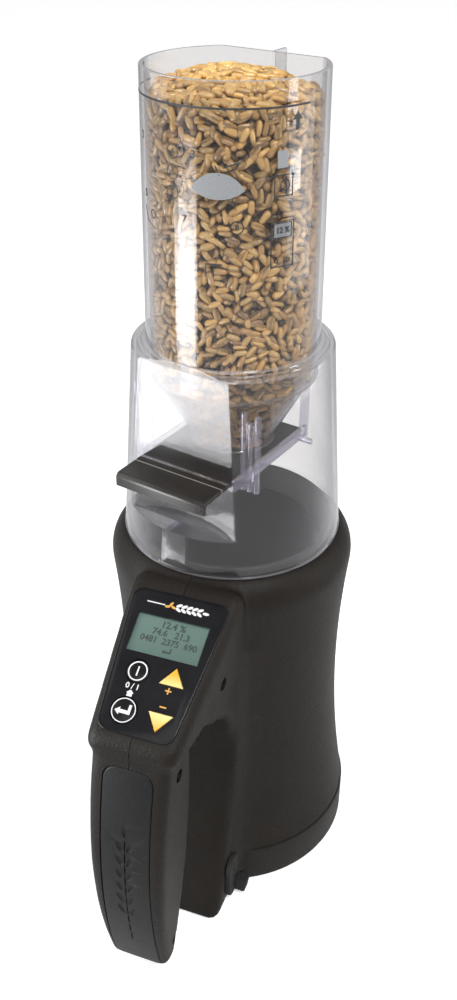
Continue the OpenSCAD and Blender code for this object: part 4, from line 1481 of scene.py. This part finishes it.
heap_places = []
sheet_wide, heap_area = 68, 3630
for under, count, rounds, light in ((0.3, 400, 24, 1.0), (2.5, 360, 12, 0.5)):
    count = int(count * sheet_wide * sheet_wide / heap_area)
    spots, turns = packed(sheet_wide, sheet_wide, count, rounds, wraps=False)
    for (u, v), turn in zip(spots, turns):
        x, y = u - sheet_wide / 2, v - sheet_wide / 2
        if hypot(x, y) > 31.4 or y > 22.4:
            continue
        z = heap_z(x, y) - under
        fall_x, fall_y = heap_z(x - 0.5, y) - heap_z(x + 0.5, y), heap_z(x, y - 0.5) - heap_z(x, y + 0.5)
        slope = Vector((fall_x, fall_y, 1))
        centre = loader_turn @ Vector((x, y, min(382.0, z + chance.random() * 1.6)))
        out = (loader_turn.to_3x3() @ slope).normalized()
        long = Vector((cos(turn), sin(turn), chance.normal() * 0.35))
        long = (long - out * long.dot(out) * 0.8).normalized()
        third = out.cross(long).normalized()
        back = long.cross(third)
        heap_places.append((centre, rolled(long, third, back, any_turn()), light))
strewn("grain_heap", heap_places)

funnel_places = []
cone_len = hypot(15.8, funnel_tall)
kernel_area, bands = 13.6, 4
for inset, share, rounds, light in ((1.5, 1.0, 24, 1.0), (3.8, 0.85, 12, 0.45)):
    for band_i in range(bands):
        t0 = band_i / bands
        r_mid = funnel_top_r + (funnel_neck_r - funnel_top_r) * (t0 + 0.5 / bands)
        around = 2 * pi * (r_mid - inset)
        count = int(around * cone_len / bands / kernel_area * share)
        spots, turns = packed(around, cone_len / bands, count, rounds)
        for (s, d), turn in zip(spots, turns):
            t = t0 + d / cone_len
            r = funnel_top_r + (funnel_neck_r - funnel_top_r) * t - inset * 0.87
            a = s / (r_mid - inset)
            z = funnel_top_z - funnel_tall * t + inset * 0.5
            out = Vector((sin(a) * 0.87, -cos(a) * 0.87, -0.5))
            deep = chance.random() * 0.5
            centre = Vector((sin(a) * (r - deep), -cos(a) * (r - deep), z))
            funnel_places.append((centre, against(out, turn, chance.normal() * 0.1), light))
spout_r, spout_z, spout_tall = 15.9, 230.6, 3.5
spots, turns = packed(2 * pi * spout_r, spout_tall, 20, 20)
for (s, h), turn in zip(spots, turns):
    out = Vector((sin(s / spout_r), -cos(s / spout_r), 0))
    centre = out * spout_r + Vector((0, 0, spout_z + h))
    funnel_places.append((centre, against(out, turn * 0.4), 1.0))
on_gate_z, half = 230.2, 16
spots, turns = packed(2 * half, 2 * half, 62, 20, wraps=False)
for (u, v), turn in zip(spots, turns):
    if hypot(u - half, v - half) < 15:
        funnel_places.append((Vector((u - half, v - half, on_gate_z)), against((0.01, 0, 1), turn), 0.6))
strewn("grain_funnel", funnel_places)


def grain_shadow(start):
    """The dark lumps between the kernels, deep inside the sample."""
    lumps = start.pebble(0.0034)
    return {
        "Base Color": (1 - lumps).tint((0.01, 0.004, 0.001), (0.09, 0.04, 0.01)),
        "Roughness": 0.7,
        "Normal": start.raised(1 - lumps, 0.001),
    }


core = spun([
    (0, 231.4), (13.2, 231.4), (14, 233), (28.4, 260.8), (28.6, 262), (28.6, 369), (22, 372), (8, 376.4), (0, 377.4),
], 64)
core_back = 19.5
sliced(core, 1, [core_back])
for v in core.verts:
    if v.co.y > core_back and v.co.z > 250:
        v.co.y = core_back
bmesh.ops.remove_doubles(core, verts=core.verts, dist=0.01)
piece("grain_core", moved(core, loader_turn), finish("grain in shadow", grain_shadow), "loader")
